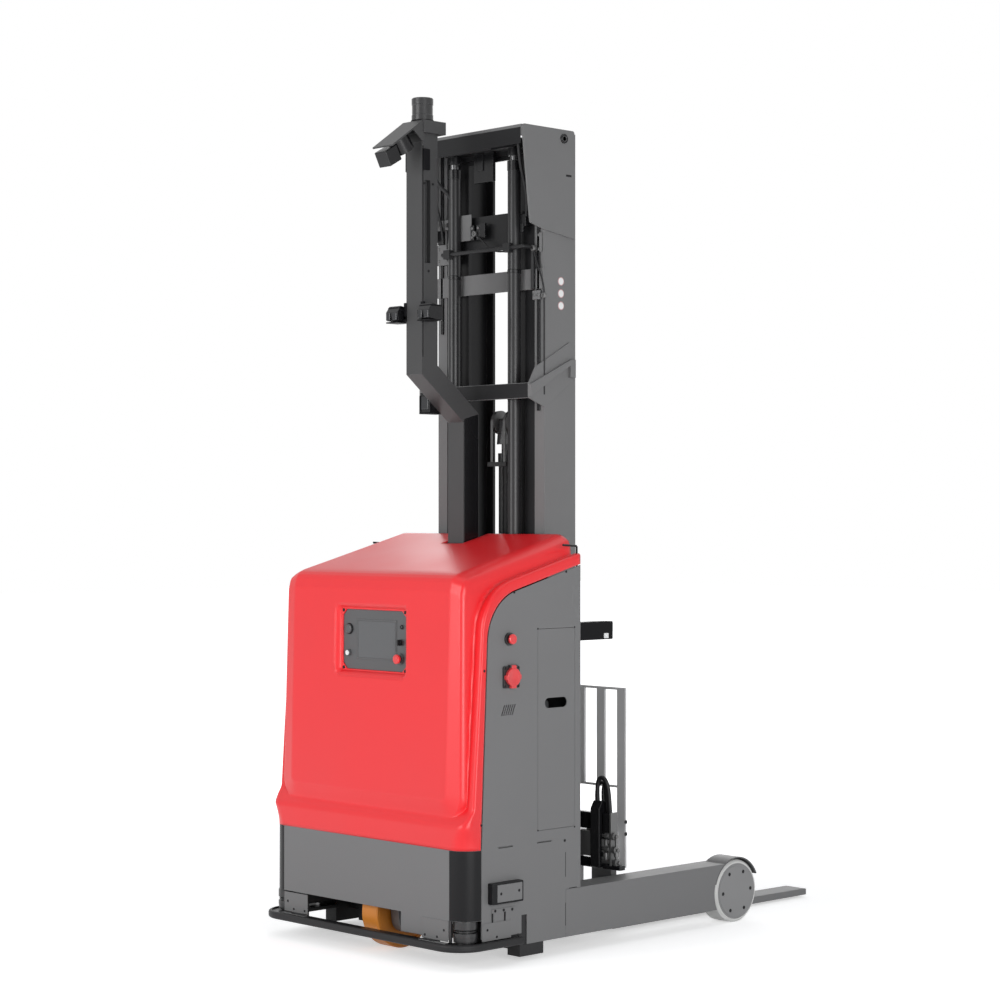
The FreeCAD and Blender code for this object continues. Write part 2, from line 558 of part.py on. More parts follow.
def make_fittings():
    """Emergency stops, charging socket with its cap, and the charging contact box."""
    face = HALF
    centre = ("estop_y", "estop_z")
    collar = cut("estop_collar_ring", rod("collar_body", "x", centre, "estop_collar", (face, f"{face} + 9")),
                 rod("collar_bore", "x", centre, "estop_stem + running", (f"{face} - 1", f"{face} + 10")))
    node(pair("estop_collars", collar), "estop_collars")
    cap_back = f"{face} + 9 + estop_travel + 1"
    cap = turned("estop_cap_body", "x",
                 [("0", "0"), ("0", "estop_cap - 5"), ("4", "estop_cap"),
                  ("estop_depth - estop_travel - 13", "estop_cap"),
                  ("estop_depth - estop_travel - 10", "estop_cap - 4"),
                  ("estop_depth - estop_travel - 10", "0")],
                 x=cap_back, y="estop_y", z="estop_z")
    stem = rod("estop_stem_rod", "x", centre, "estop_stem", (f"{face} - 20", f"{cap_back} + 2"))
    button = node(fuse("right_estop", cap, stem), "right_estop")
    left_node(button, "left_estop")

    half = "socket_side / 2"
    flange = prism("socket_flange", "YZ",
                   [(f"socket_y {a} {half}", f"socket_z {b} {half}", "8")
                    for a, b in (("-", "-"), ("+", "-"), ("+", "+"), ("-", "+"))],
                   (face, f"{face} + 8"))
    barrel = rod("socket_barrel", "x", ("socket_y", "socket_z"), "socket_bore + 5",
                 (f"{face} - 45", f"{face} + 2"))
    mouth = rod("socket_mouth", "x", ("socket_y", "socket_z"), "socket_bore",
                (f"{face} - 38", f"{face} + 10"))
    lug = [block(f"socket_lug_{side}", (f"{face} + 6", f"{face} + 22"),
                 (f"socket_y + {low}", f"socket_y + {high}"), (f"socket_z + {half} - 6", f"socket_z + {half} + 4"))
           for side, low, high in (("front", "-20", "-14.3"), ("back", "14.3", "20"))]
    hinge_pin = rod("socket_hinge_pin", "y", (f"{face} + 16", f"socket_z + {half} - 1"), "2.5",
                    ("socket_y - 20", "socket_y + 20"))
    node(cut("charging_socket", fuse("socket_body", flange, barrel, hinge_pin, *lug), mouth),
         "charging_socket")
    lid_x = (f"{face} + 8.3", f"{face} + 22")
    lid = fuse("socket_lid", rod("lid_disc", "x", ("socket_y", "socket_z"), "socket_bore + 9", lid_x),
               block("lid_tab", lid_x, ("socket_y - 14", "socket_y + 14"),
                     (f"socket_z - {half}", f"socket_z + {half} + 1")),
               block("lid_ears", lid_x, ("socket_y - 43", "socket_y + 43"), ("socket_z - 9", "socket_z + 9")),
               rod("lid_knuckle", "y", (f"{face} + 16", f"socket_z + {half} - 1"), "5.5",
                   ("socket_y - 14", "socket_y + 14")))
    eye = rod("lid_eye", "y", (f"{face} + 16", f"socket_z + {half} - 1"), "2.5 + running",
              ("socket_y - 15", "socket_y + 15"))
    node(cut("socket_cap", lid, eye), "socket_cap")

    low_y, high_y = "contact_y - contact_length / 2", "contact_y + contact_length / 2"
    low_z, high_z = "contact_z - contact_height / 2", "contact_z + contact_height / 2"
    box = prism("contact_body", "YZ", [(low_y, low_z, "4"), (high_y, low_z, "4"),
                                       (high_y, high_z, "4"), (low_y, high_z, "4")],
                (face, f"{face} + contact_depth"))
    plate = block("contact_recess", (f"{face} + contact_depth - 2", f"{face} + contact_depth + 1"),
                  (f"{low_y} + 28", f"{high_y} - 6"), (f"{low_z} + 7", f"{high_z} - 7"))
    node(cut("contact_box", box, plate), "contact_box")


def make_operator_panel():
    """Recessed control plate with screen bezel, stop button, start button and switch."""
    floor = "recess_floor_y"
    front = f"{floor} - panel_plate"
    corners = []
    for a, b in (("-", "-"), ("+", "-"), ("+", "+"), ("-", "+")):
        near = (f"panel_x {a} (panel_width / 2 - panel_chamfer)", f"panel_z {b} panel_height / 2")
        far = (f"panel_x {a} panel_width / 2", f"panel_z {b} (panel_height / 2 - panel_chamfer)")
        corners += [far, near] if a == b else [near, far]
    plate = prism("panel_sheet", "XZ", corners, (front, floor))
    bezel = block("screen_bezel", ("screen_x - screen_width / 2", "screen_x + screen_width / 2"),
                  (f"{front} - 2", f"{front} + 1"),
                  ("screen_z - screen_height / 2", "screen_z + screen_height / 2"))
    glass = block("screen_recess", ("screen_x - screen_width / 2 + 6", "screen_x + screen_width / 2 - 6"),
                  (f"{front} - 3", f"{front} - 1"),
                  ("screen_z - screen_height / 2 + 6", "screen_z + screen_height / 2 - 6"))
    buzzer = turned("buzzer", "y", [("0", "0"), ("0", "17"), ("-5", "20"), ("-9", "20"),
                                    ("-12", "15"), ("-12", "0")],
                    x=BUZZER[0], y=front, z=BUZZER[1])
    port = turned("port", "y", [("0", "0"), ("0", "10"), ("-4", "10"), ("-4", "0")],
                  x=PORT[0], y=front, z=PORT[1])
    bosses, bores = [], []
    for name, (x, z), outer, bore in CONTROLS:
        bosses.append(rod(f"{name}_boss", "y", (x, z), outer, (f"{front} - 6", f"{front} + 1")))
        bores.append(rod(f"{name}_bore", "y", (x, z), f"{bore} + running", (f"{front} - 7", f"{floor} + 1")))
    node(cut("control_panel", fuse("panel_body", plate, bezel, buzzer, port, *bosses), glass, *bores),
         "control_panel")
    for name, (x, z), _, bore in CONTROLS:
        stem = rod(f"{name}_stem", "y", (x, z), bore, (f"{front} - 13", f"{front} - 2.5"))
        if name == "panel_estop":
            head = turned("panel_estop_head", "y", [("0", "0"), ("0", "15"), ("-5", "20"), ("-13", "20"),
                                                    ("-18", "14"), ("-18", "0")],
                          x=x, y=f"{front} - 7 - estop_travel", z=z)
        elif name == "start_button":
            head = rod("start_head", "y", (x, z), "button_radius",
                       (f"{front} - 12", f"{front} - 7 - control_travel"))
        else:
            head = fuse("switch_head",
                        rod("switch_disc", "y", (x, z), "knob_radius - 1", (f"{front} - 14", f"{front} - 6.3")),
                        block("switch_grip", (f"{x} - 4", f"{x} + 4"), (f"{front} - 24", f"{front} - 13"),
                              (f"{z} - knob_radius + 2", f"{z} + knob_radius - 2")))
        node(fuse(name, stem, head), name)


BUZZER = ("panel_x - panel_width / 2 + 38", "panel_z + 44")
PORT = ("panel_x + panel_width / 2 - 27", "panel_z + 62")
CONTROLS = (("panel_estop", ("panel_x + panel_width / 2 - 40", "panel_z - 74"), "24", "9"),
            ("start_button", ("panel_x - panel_width / 2 + 34", "panel_z - 60"), "15", "8"),
            ("mode_switch", ("panel_x + panel_width / 2 - 32", "panel_z - 4"), "knob_radius", "7"))



def make_chassis():
    """Welded frame: deck, bulkhead, rear wall, beams, shelf, roof beam and jacking blocks."""
    inside = PANEL_IN
    deck_back = "bulkhead_y"
    corner_x = f"{HALF} - corner_round"
    corner_y = "corner_round + corner_flat + seam"
    deck = prism("deck_plate", "XY",
                 [(f"-({corner_x})", "shell"), (corner_x, "shell"), (corner_x, corner_y),
                  (inside, corner_y), (inside, deck_back), (f"-{inside}", deck_back),
                  (f"-{inside}", corner_y), (f"-({corner_x})", corner_y)],
                 ("deck_z", "deck_z + deck"))
    well = rod("turret_bore", "z", ("0", "drive_y"), "turret_radius + running",
               ("deck_z - 1", "deck_z + deck + 1"))
    plates = [
        block("bulkhead_plate", both(inside), (deck_back, f"{deck_back} + bulkhead"),
              ("leg_base", "bulkhead_top")),
        block("rear_plate", both(inside), ("rear_wall_y", "rear_wall_y + rear_wall"),
              ("leg_top + seam", "rear_wall_top")),
        block("rear_low_plate", both("leg_inner - 1"), ("rear_wall_y", "rear_wall_y + rear_wall"),
              ("leg_base", "leg_top + seam")),
        block("battery_shelf", both(inside), (f"{deck_back} + bulkhead", "rear_wall_y"),
              ("shelf_z", "shelf_z + shelf")),
        block("floor_plate", both("leg_inner - 1"), (f"{deck_back} + bulkhead", "rear_wall_y"),
              ("leg_base", "leg_base + 12")),
        block("roof_plate", both(inside), ("post_y - 20", "rear_wall_y"),
              ("roof_beam_z", "roof_beam_z + roof_beam")),
        block("steer_bracket", ("-210", "-95"), ("282", f"{deck_back} + 1"),
              ("steer_bracket_z", "steer_bracket_z + 9"))]
    side = [
        block("side_beam", ("beam_inner", inside), ("scanner_y + scanner_radius + 4", "leg_start"),
              ("panel_base + 1", "beam_top")),
        block("side_web", (f"{inside} - 20", inside), (corner_y, deck_back), ("beam_top", "deck_z")),
        block("side_web_back", (f"{inside} - 20", inside), (f"{deck_back} + bulkhead", "rear_wall_y"),
              ("leg_top + seam", "shelf_z")),
        block("jack_block", (f"{HALF} - 1 - jack_width", f"{HALF} - 1"),
              ("jack_y", "jack_y + jack_length"), ("jack_base", "leg_base")),
        block("jack_neck", (f"{HALF} - 1 - jack_width", inside),
              ("jack_y", "jack_y + jack_length"), ("leg_base", "panel_base + 1"))]
    twins = [mirror(f"{solid.Name}_left", solid) for solid in side]
    holes = [rod("ram_hole", "y", ("ram_x", "ram_z"), "ram_radius + running",
                 ("rear_wall_y - 1", "rear_wall_y + rear_wall + 1")),
             rod("ram_hole_front", "y", ("ram_x", "ram_z"), "ram_radius + running",
                 (f"{deck_back} - 1", f"{deck_back} + bulkhead + 1")),
             rod("steer_shaft_hole", "z", PINION, "16", ("steer_bracket_z - 1", "steer_bracket_z + 10"))]
    node(cut("chassis_frame", fuse("frame_body", deck, *plates, *side, *twins), well, *holes),
         "chassis_frame")


GEAR_GAP = "(gear_module * (ring_teeth + pinion_teeth) / 2)"
PINION = (f"-{GEAR_GAP} * sin(45)", f"drive_y + {GEAR_GAP} * cos(45)")


def make_cabinet_contents():
    """Battery, hydraulic unit and drive controller inside the cabinet."""
    shelf_top = "shelf_z + shelf"
    pack = prism("battery_case", "XZ", [("-480", shelf_top), ("480", shelf_top),
                                        ("480", "shelf_z + 540", "12"), ("-480", "shelf_z + 540", "12")],
                 ("bulkhead_y + bulkhead + 12", "rear_wall_y - 12"))
    plugs = [rod(f"battery_pole_{side}", "z", (f"{side} 60", "door_front + 60"), "14",
                 ("shelf_z + 538", "shelf_z + 560")) for side in ("-", "+")]
    node(fuse("battery", pack, *plugs), "battery")
    wall = "bulkhead_y"
    deck_top = "deck_z + deck"
    tank = prism("tank", "XY", [("230", "200"), ("470", "200"), ("470", wall, "10"), ("230", wall, "10")],
                 (deck_top, f"{deck_top} + 190"))
    pump = rod("pump_motor", "z", ("350", "300"), "75", (f"{deck_top} + 189", f"{deck_top} + 400"))
    block_body = block("valve_block", ("240", "300"), ("230", "290"), (f"{deck_top} + 189", f"{deck_top} + 260"))
    node(fuse("hydraulic_unit", tank, pump, block_body), "hydraulic_unit")
    fins = [block(f"fin_{k}", (f"-290 + {k} * 34", f"-282 + {k} * 34"), (f"{wall} - 90", f"{wall} - 60"),
                  ("840", "1160")) for k in range(10)]
    case = block("controller_case", ("-300", "40"), (f"{wall} - 62", wall), ("820", "1180"))
    node(fuse("drive_controller", case, *fins), "drive_controller")


def gear(name, centre, teeth, span, turn):
    """Spur gear blank with straight-flanked teeth, set at a starting angle."""
    low, high = span
    pitch = f"(gear_module * {teeth} / 2)"
    tooth = prism(f"{name}_tooth", "XY",
                  [(f"{pitch} - gear_module * 1.2", "-gear_module * 0.95"),
                   (f"{pitch} + gear_module * 0.85", "-gear_module * 0.42"),
                   (f"{pitch} + gear_module * 0.85", "gear_module * 0.42"),
                   (f"{pitch} - gear_module * 1.2", "gear_module * 0.95")], (low, high))
    disc = rod(f"{name}_disc", "z", ("0", "0"), f"{pitch} - gear_module * 1.05", (low, high))
    teeth_solids = []
    for k in range(int(SIZES[teeth])):
        copy = doc.addObject("Part::Feature", f"{name}_tooth_{k}")
        shape = tooth.Shape.copy()
        shape.rotate(Vector(), Vector(0, 0, 1), turn + 360 / SIZES[teeth] * k)
        copy.Shape = shape
        teeth_solids.append(copy)
    wheel = fuse(f"{name}_wheel", disc, *teeth_solids)
    place(wheel, x=centre[0], y=centre[1])
    return wheel


def make_drive():
    """Steered drive unit: gearbox turret with ring gear, motors, pinion and wheel."""
    centre = ("0", "drive_y")
    hub_face = "drive_width / 2 + 6"
    ring_top = "ring_z + ring_height"
    ring = gear("ring", centre, "ring_teeth", ("ring_z", ring_top), 0)
    turret = rod("turret", "z", centre, "turret_radius", ("turret_base", "ring_z + 1"))
    cheek = prism("cheek", "YZ", [("drive_y - 72", "drive_radius - 85", "60"),
                                  ("drive_y + 72", "drive_radius - 85", "60"),
                                  ("drive_y + 105", "turret_base + 10", "8"),
                                  ("drive_y - 105", "turret_base + 10", "8")],
                  (hub_face, f"{hub_face} + 50"))
    cap = rod("cheek_cap", "x", ("drive_y", "drive_radius"), "58", (f"{hub_face} + 49", f"{hub_face} + 62"))
    stub = rod("drive_stub", "x", ("drive_y", "drive_radius"), "drive_axle",
               ("-drive_width / 2 + 12", f"{hub_face} + 1"))
    node(fuse("drive_gearbox", ring, turret, cheek, cap, stub), "drive_gearbox")
    motor = turned("traction_motor", "z",
                   [("0", "0"), ("0", "motor_radius + 14"), ("14", "motor_radius + 14"),
                    ("14", "motor_radius"), ("motor_top - ring_z - 60", "motor_radius"),
                    ("motor_top - ring_z - 60", "motor_radius - 20"),
                    ("motor_top - ring_z - ring_height", "motor_radius - 20"),
                    ("motor_top - ring_z - ring_height", "0")],
                   x="0", y="drive_y", z=ring_top)
    node(motor, "traction_motor")
    half = "drive_width / 2"
    core = turned("drive_core", "x",
                  [(f"-({half}) + 6", "drive_axle + running"), (f"{half} - 6", "drive_axle + running"),
                   (f"{half} - 6", "drive_radius - drive_tread"),
                   (f"-({half}) + 6", "drive_radius - drive_tread")],
                  x="0", y="drive_y", z="drive_radius")
    tread = turned("drive_tyre", "x",
                   [(f"-({half})", "drive_radius - drive_tread"), (half, "drive_radius - drive_tread"),
                    (half, "drive_radius - 6"), (f"{half} - 6", "drive_radius"),
                    (f"-({half}) + 6", "drive_radius"), (f"-({half})", "drive_radius - 6")],
                   x="0", y="drive_y", z="drive_radius")
    node(fuse("drive_wheel", core, tread), "drive_wheel")
    pinion = gear("pinion", PINION, "pinion_teeth", ("ring_z + 1", f"{ring_top} - 1"), -45)
    shaft = rod("pinion_shaft", "z", PINION, "11", (f"{ring_top} - 2", "steer_bracket_z + 34"))
    node(fuse("steer_pinion", pinion, shaft), "steer_pinion")
    seat_z = "steer_bracket_z + 9"
    body = turned("steer_motor_body", "z",
                  [("0", "11 + running"), ("0", "steer_motor_radius"),
                   ("steer_motor_top - steer_bracket_z - 9", "steer_motor_radius"),
                   ("steer_motor_top - steer_bracket_z - 9", "0"), ("26", "0"), ("26", "11 + running")],
                  x=PINION[0], y=PINION[1], z=seat_z)
    node(body, "steer_motor")


def make_legs():
    """Straddle legs with their reach channels and stub axles, and the wheel fenders."""
    box = block("leg_box", ("leg_inner", HALF), ("leg_start", "wheel_y"), ("leg_base", "leg_top"))
    web = block("axle_web", ("leg_inner", f"{WHEEL_IN} - 6"), ("channel_end", "wheel_y + 30"),
                ("leg_base", "wheel_radius + 62"))
    web_nose = rod("axle_web_nose", "x", ("wheel_y + 30", "wheel_radius"), "52",
                   ("leg_inner", f"{WHEEL_IN} - 6"))
    channel = block("leg_channel", ("leg_inner - 1", f"{HALF} - leg_web"),
                    ("cabinet_back", "channel_end"), ("channel_base", "channel_top"))
    clearance = rod("leg_wheel_well", "x", ("wheel_y", "wheel_radius"),
                    "wheel_radius + fender_gap + fender", (f"{WHEEL_IN} - 6", f"{HALF} + 1"))
    axle = rod("stub_axle", "x", ("wheel_y", "wheel_radius"), "axle_radius",
               (f"{WHEEL_IN} - 7", f"{WHEEL_IN} + axle_length - 2"))
    right = node(fuse("right_leg", cut("leg_hollow", box, channel, clearance), web, web_nose, axle),
                 "right_leg")
    left_node(right, "left_leg")
    outer = "wheel_radius + fender_gap + fender"
    span = (f"{WHEEL_IN} - 6", HALF)
    arc = cut("fender_ring", rod("fender_outer", "x", ("wheel_y", "wheel_radius"), outer, span),
              rod("fender_inner", "x", ("wheel_y", "wheel_radius"), f"{outer} - fender",
                  (f"{WHEEL_IN} - 7", f"{HALF} + 1")))
    wedge = prism("fender_wedge", "YZ",
                  [("wheel_y", "wheel_radius"), ("wheel_y + 190", "wheel_radius + 93"),
                   ("wheel_y + 190", "wheel_radius + 260"), ("wheel_y - 300", "wheel_radius + 260"),
                   ("wheel_y - 300", "wheel_radius + 90")], (f"{WHEEL_IN} - 8", f"{HALF} + 2"))
    node(pair("wheel_fenders", common("fender", arc, wedge)), "wheel_fenders")


WHEEL_IN = "(wheel_inner)"


def make_load_wheels():
    """Hub with a closed outer disc, and tyre, for both load wheels."""
    span = f"{HALF} - wheel_inset - wheel_inner"
    hub = turned("load_hub", "x",
                 [("0", "axle_radius + running"), ("0", "axle_radius + 30"), ("6", "hub_radius - 22"),
                  ("2", "hub_radius"), (span, "hub_radius"), (span, "0"),
                  ("axle_length", "0"), ("axle_length", "axle_radius + running")],
                 x="wheel_inner", y="wheel_y", z="wheel_radius")
    left_node(node(hub, "right_load_hub"), "left_load_hub")
    tyre = turned("load_tyre", "x",
                  [("2", "hub_radius"), ("2", "wheel_radius - 8"), ("10", "wheel_radius"),
                   (f"{span} - 10", "wheel_radius"), (f"{span} - 2", "wheel_radius - 8"),
                   (f"{span} - 2", "hub_radius")],
                  x="wheel_inner", y="wheel_y", z="wheel_radius")
    left_node(node(tyre, "right_load_tyre"), "left_load_tyre")


ROLLER_Z = "((channel_base + channel_top) / 2)"
REACH_ROLLER = "((channel_top - channel_base) / 2 - roller_play)"
REACH_ROLLER_IN = f"({HALF} - leg_web - 5 - reach_roller_width)"


def make_reach():
    """Reach carriage with its stub axles, its rollers and the reach ram."""
    plate_out = "reach_plate_in + reach_plate"
    plate = prism("reach_side", "YZ",
                  [("reach_front", "reach_low_z", "30"), ("reach_back", "reach_low_z", "30"),
                   ("reach_back", "reach_high_z", "30"), ("reach_front", "reach_high_z", "30")],
                  ("reach_plate_in", plate_out))
    arm = block("reach_arm", ("outer_face", "reach_plate_in"), ("cross_front + 20", "cross_back - 20"),
                ("cross_base + cross", "reach_high_z"))
    foot = block("reach_foot", ("outer_face", "reach_plate_in"), ("cross_front + 20", "cross_back - 20"),
                 ("cross_base", "cross_base + cross"))
    stubs = [rod(f"reach_stub_{side}", "x", (y, ROLLER_Z), "reach_stub",
                 (f"{plate_out} - 1", f"{REACH_ROLLER_IN} + reach_roller_width - 2"))
             for side, y in (("front", "roller_front_y"), ("back", "roller_back_y"))]
    collars = [rod(f"reach_collar_{side}", "x", (y, ROLLER_Z), "reach_stub + 14",
                   (f"{plate_out} - 1", f"{REACH_ROLLER_IN} - seat"))
               for side, y in (("front", "roller_front_y"), ("back", "roller_back_y"))]
    side = fuse("reach_right", plate, arm, foot, *stubs, *collars)
    cross_plate = block("reach_cross", both("outer_face + 1"), ("cross_front", "cross_back"),
                        ("cross_base", "cross_base + cross"))
    lug = block("ram_lug", ("ram_x - 30", "ram_x + 30"), ("ram_end + 22", "cross_front + 1"),
                ("cross_base", "ram_z + 30"))
    lug_tie = block("ram_lug_tie", ("ram_x - 30", "ram_x + 30"), ("cross_front", "outer_front"),
                    ("cross_base + cross", "ram_z + 30"))
    node(fuse("reach_carriage", side, mirror("reach_left", side), cross_plate, lug, lug_tie),
         "reach_carriage")
    for label, y in (("front_reach_rollers", "roller_front_y"), ("rear_reach_rollers", "roller_back_y")):
        roller = turned(f"{label}_right", "x",
                        [("0", "reach_stub + running"), ("0", f"{REACH_ROLLER} - 4"),
                         ("4", REACH_ROLLER), ("reach_roller_width - 4", REACH_ROLLER),
                         ("reach_roller_width", f"{REACH_ROLLER} - 4"),
                         ("reach_roller_width", "reach_stub + running")],
                        x=REACH_ROLLER_IN, y=y, z=ROLLER_Z)
        node(pair(label, roller), label)
    barrel = turned("reach_cylinder", "y",
                    [("0", "0"), ("0", "ram_radius"), ("ram_end - ram_start", "ram_radius"),
                     ("ram_end - ram_start", "ram_rod + running"),
                     ("ram_end - ram_start - 30", "ram_rod + running"),
                     ("ram_end - ram_start - 30", "ram_bore"), ("20", "ram_bore"), ("20", "0")],
                    x="ram_x", y="ram_start", z="ram_z")
    node(barrel, "reach_cylinder")
    rod_body = turned("reach_rod", "y",
                      [("0", "0"), ("0", "ram_bore - running"), ("24", "ram_bore - running"),
                       ("24", "ram_rod"), ("ram_end + 22 - ram_start - 24", "ram_rod"),
                       ("ram_end + 22 - ram_start - 24", "0")],
                      x="ram_x", y="ram_start + 24", z="ram_z")
    node(rod_body, "reach_rod")


MID_FACE = "(outer_face - outer_width - stage_gap)"
INNER_FACE = f"({MID_FACE} - mid_width - stage_gap)"
INNER_TIP = f"({INNER_FACE} - inner_width)"
RAIL_BASE = "(cross_base + cross)"


def rail(name, face, stage, z):
    """Right-hand C-section rail, open towards the middle of the mast."""
    front, depth = f"{stage}_front", f"{stage}_depth"
    back = f"{front} + {depth}"
    inner = f"{face} - {stage}_width"
    web = f"{face} - {stage}_web"
    flange = f"{stage}_flange"
    return prism(name, "XY",
                 [(face, front), (face, back), (inner, back), (inner, f"{back} - {flange}"),
                  (web, f"{back} - {flange}"), (web, f"{front} + {flange}"),
                  (inner, f"{front} + {flange}"), (inner, front)], z)


def with_twins(solids):
    """Solids together with their left-hand twins."""
    return solids + [mirror(f"{solid.Name}_left", solid) for solid in solids]


def mast_rollers(label, face, outer_stage, z):
    """Pair of rollers that run inside the next rail out, on stubs of the rail inside."""
    radius = f"({outer_stage}_depth / 2 - {outer_stage}_flange - roller_play)"
    roller = turned(f"{label}_right", "x",
                    [("0", "stub_radius + running"), ("0", f"{radius} - 4"), ("4", radius),
                     ("mast_roller_width - 4", radius), ("mast_roller_width", f"{radius} - 4"),
                     ("mast_roller_width", "stub_radius + running")],
                    x=f"{face} + stage_gap + 5", y=f"{outer_stage}_front + {outer_stage}_depth / 2", z=z)
    node(pair(label, roller), label)


def roller_stub(name, face, outer_stage, z):
    """Stub axle on a rail's web for a roller that runs in the next rail out."""
    middle = f"{outer_stage}_front + {outer_stage}_depth / 2"
    return [rod(f"{name}_stub", "x", (middle, z), "stub_radius",
                (f"{face} - 1", f"{face} + stage_gap + 3 + mast_roller_width")),
            rod(f"{name}_collar", "x", (middle, z), "stub_radius + 12",
                (f"{face} - 1", f"{face} + stage_gap + 5 - seat"))]


def make_mast():
    """Three nested mast stages, their rollers and the two pairs of lift cylinders."""
    front, back = "outer_front", "outer_front + outer_depth"
    outer_rail = rail("outer_rail", "outer_face", "outer", (RAIL_BASE, "mast_top - 12"))
    face = "outer_face"
    head = prism("head_side", "YZ",
                 [("head_front", "mast_top", "14"), (f"{back} - 14", "mast_top", "10"),
                  (f"{back} - 14", "mast_top - 480"), ("outer_front - 13", "mast_top - 450"),
                  ("head_front + 50", "mast_top - 427", "10")], (face, f"{face} + head_plate"))
    boss = cut("head_boss", rod("boss_body", "x", (f"{back} - 80", "mast_top - 40"), "21",
                                (f"{face} + head_plate - 1", f"{face} + head_plate + 5")),
               rod("boss_eye", "x", (f"{back} - 80", "mast_top - 40"), "11",
                   (f"{face} + head_plate", f"{face} + head_plate + 6")))
    wing = prism("bar_wing", "YZ",
                 [("bar_y", "bar_base"), (f"{front} - 3", "bar_base - 37"), (f"{back} - 17", "bar_base + 89"),
                  (f"{back} - 17", "bar_base + 218"), (f"{back} - 40", "bar_base + 256", "12"),
                  ("outer_front - 60", "bar_base + 138"), ("bar_y", "bar_base + bar_height")],
                 (face, f"{face} + 6"))
    hook = prism("hook_arm", "YZ",
                 [("bar_y", "bar_base + 8"), (f"{back} - 50", "bar_base + 150"),
                  (f"{back} - 50", "bar_base + 98"), (f"{back} - 17", "bar_base + 98"),
                  (f"{back} - 17", "bar_base + 178"), (f"{back} - 45", "bar_base + 178"),
                  ("bar_y", "bar_base + 61")], (f"{face} + 5", f"{face} + 20"))
    sides = with_twins([outer_rail, head, boss, wing, hook])
    ties = [block("outer_tie", both(face), (f"{front} - tie_plate", front), ("mast_top - 710", "mast_top - 620")),
            block("outer_low_tie", both(face), (f"{front} - tie_plate", front), ("260", "420")),
            block("head_bar", both(f"{face} + 1"), ("head_front", "head_front + 14"),
                  ("mast_top - 51", "mast_top - 2")),
            block("low_bar", both(f"{face} + 1"), ("bar_y", "bar_y + bar_plate"),
                  ("bar_base", "bar_base + bar_height"))]
    node(fuse("outer_mast", *sides, *ties), "outer_mast")

    lift_seat = block("lift_seat", ("lift_x - 45", "lift_x + 45"), ("lift_y - lift_radius - 1", "cross_front"),
                      ("cross_base", "cross_base + cross"))
    barrel = turned("lift_barrel", "z",
                    [("0", "0"), ("0", "lift_radius"), ("lift_barrel_top - cross_base - cross", "lift_radius"),
                     ("lift_barrel_top - cross_base - cross", "lift_rod + running"),
                     ("lift_barrel_top - cross_base - cross - 40", "lift_rod + running"),
                     ("lift_barrel_top - cross_base - cross - 40", "lift_bore"),
                     ("20", "lift_bore"), ("20", "0")], x="lift_x", y="lift_y", z=RAIL_BASE)
    seat_plate = fuse("lift_cylinder", barrel, lift_seat)
    node(pair("lift_cylinders", seat_plate), "lift_cylinders")
    mid_top = "mast_top - 37"
    piston = turned("lift_piston", "z",
                    [("0", "0"), ("0", "lift_bore - running"), ("30", "lift_bore - running"),
                     ("30", "lift_rod"), (f"{mid_top} - 40 - cross_base - cross - 24", "lift_rod"),
                     (f"{mid_top} - 40 - cross_base - cross - 24", "0")],
                    x="lift_x", y="lift_y", z=f"{RAIL_BASE} + 24")
    node(pair("lift_rods", piston), "lift_rods")

    tip = f"{MID_FACE} - mid_width"
    mid_front = "mid_front"
    mid_low = f"{RAIL_BASE} + 4"
    mid = rail("mid_rail", MID_FACE, "mid", (mid_low, mid_top))
    mid_ties = [block("mid_head_tie", both(f"{tip} + 1"), (mid_front, "mid_front + tie"),
                      (f"{mid_top} - 60", mid_top)),
                block("mid_upper_tie", both(f"{tip} + 1"), (mid_front, "mid_front + tie"),
                      ("mast_top - 517", "mast_top - 357")),
                block("mid_low_tie", both(f"{tip} + 1"), (mid_front, "mid_front + tie"),
                      (mid_low, f"{mid_low} + 150")),
                block("mid_yoke", both("lift_x + 40"), ("lift_y - 20", f"{mid_front} + 1"),
                      (f"{mid_top} - 40", mid_top))]
    node(fuse("mid_mast", *with_twins([mid] + roller_stub("mid", MID_FACE, "outer", "mast_roller_z")),
              *mid_ties), "mid_mast")
    mast_rollers("mid_rollers", MID_FACE, "outer", "mast_roller_z")

    inner_low = f"{RAIL_BASE} + 8"
    inner_top = "mast_top - 47"
    inner = rail("inner_rail", INNER_FACE, "inner", (inner_low, inner_top))
    inner_ties = [block("inner_head_tie", both(f"{INNER_TIP} + 1"), ("inner_front", "inner_front + tie"),
                        (f"{inner_top} - 70", inner_top)),
                  block("inner_low_tie", both(f"{INNER_TIP} + 1"), ("inner_front", "inner_front + tie"),
                        (inner_low, f"{inner_low} + 150")),
                  block("free_seat", both("free_radius + 15"),
                        ("inner_front + tie - 1", f"{MAST_MIDDLE} + free_radius"),
                        (inner_low, f"{inner_low} + 15"))]
    node(fuse("inner_mast",
              *with_twins([inner] + roller_stub("inner", INNER_FACE, "mid", "mast_roller_z")),
              *inner_ties), "inner_mast")
    mast_rollers("inner_rollers", INNER_FACE, "mid", "mast_roller_z")


MAST_MIDDLE = "(inner_front + inner_depth / 2)"
FREE_BASE = f"({RAIL_BASE} + 8 + 15)"
CHAIN_FRONT = f"({MAST_MIDDLE} + sheave_radius + seat)"


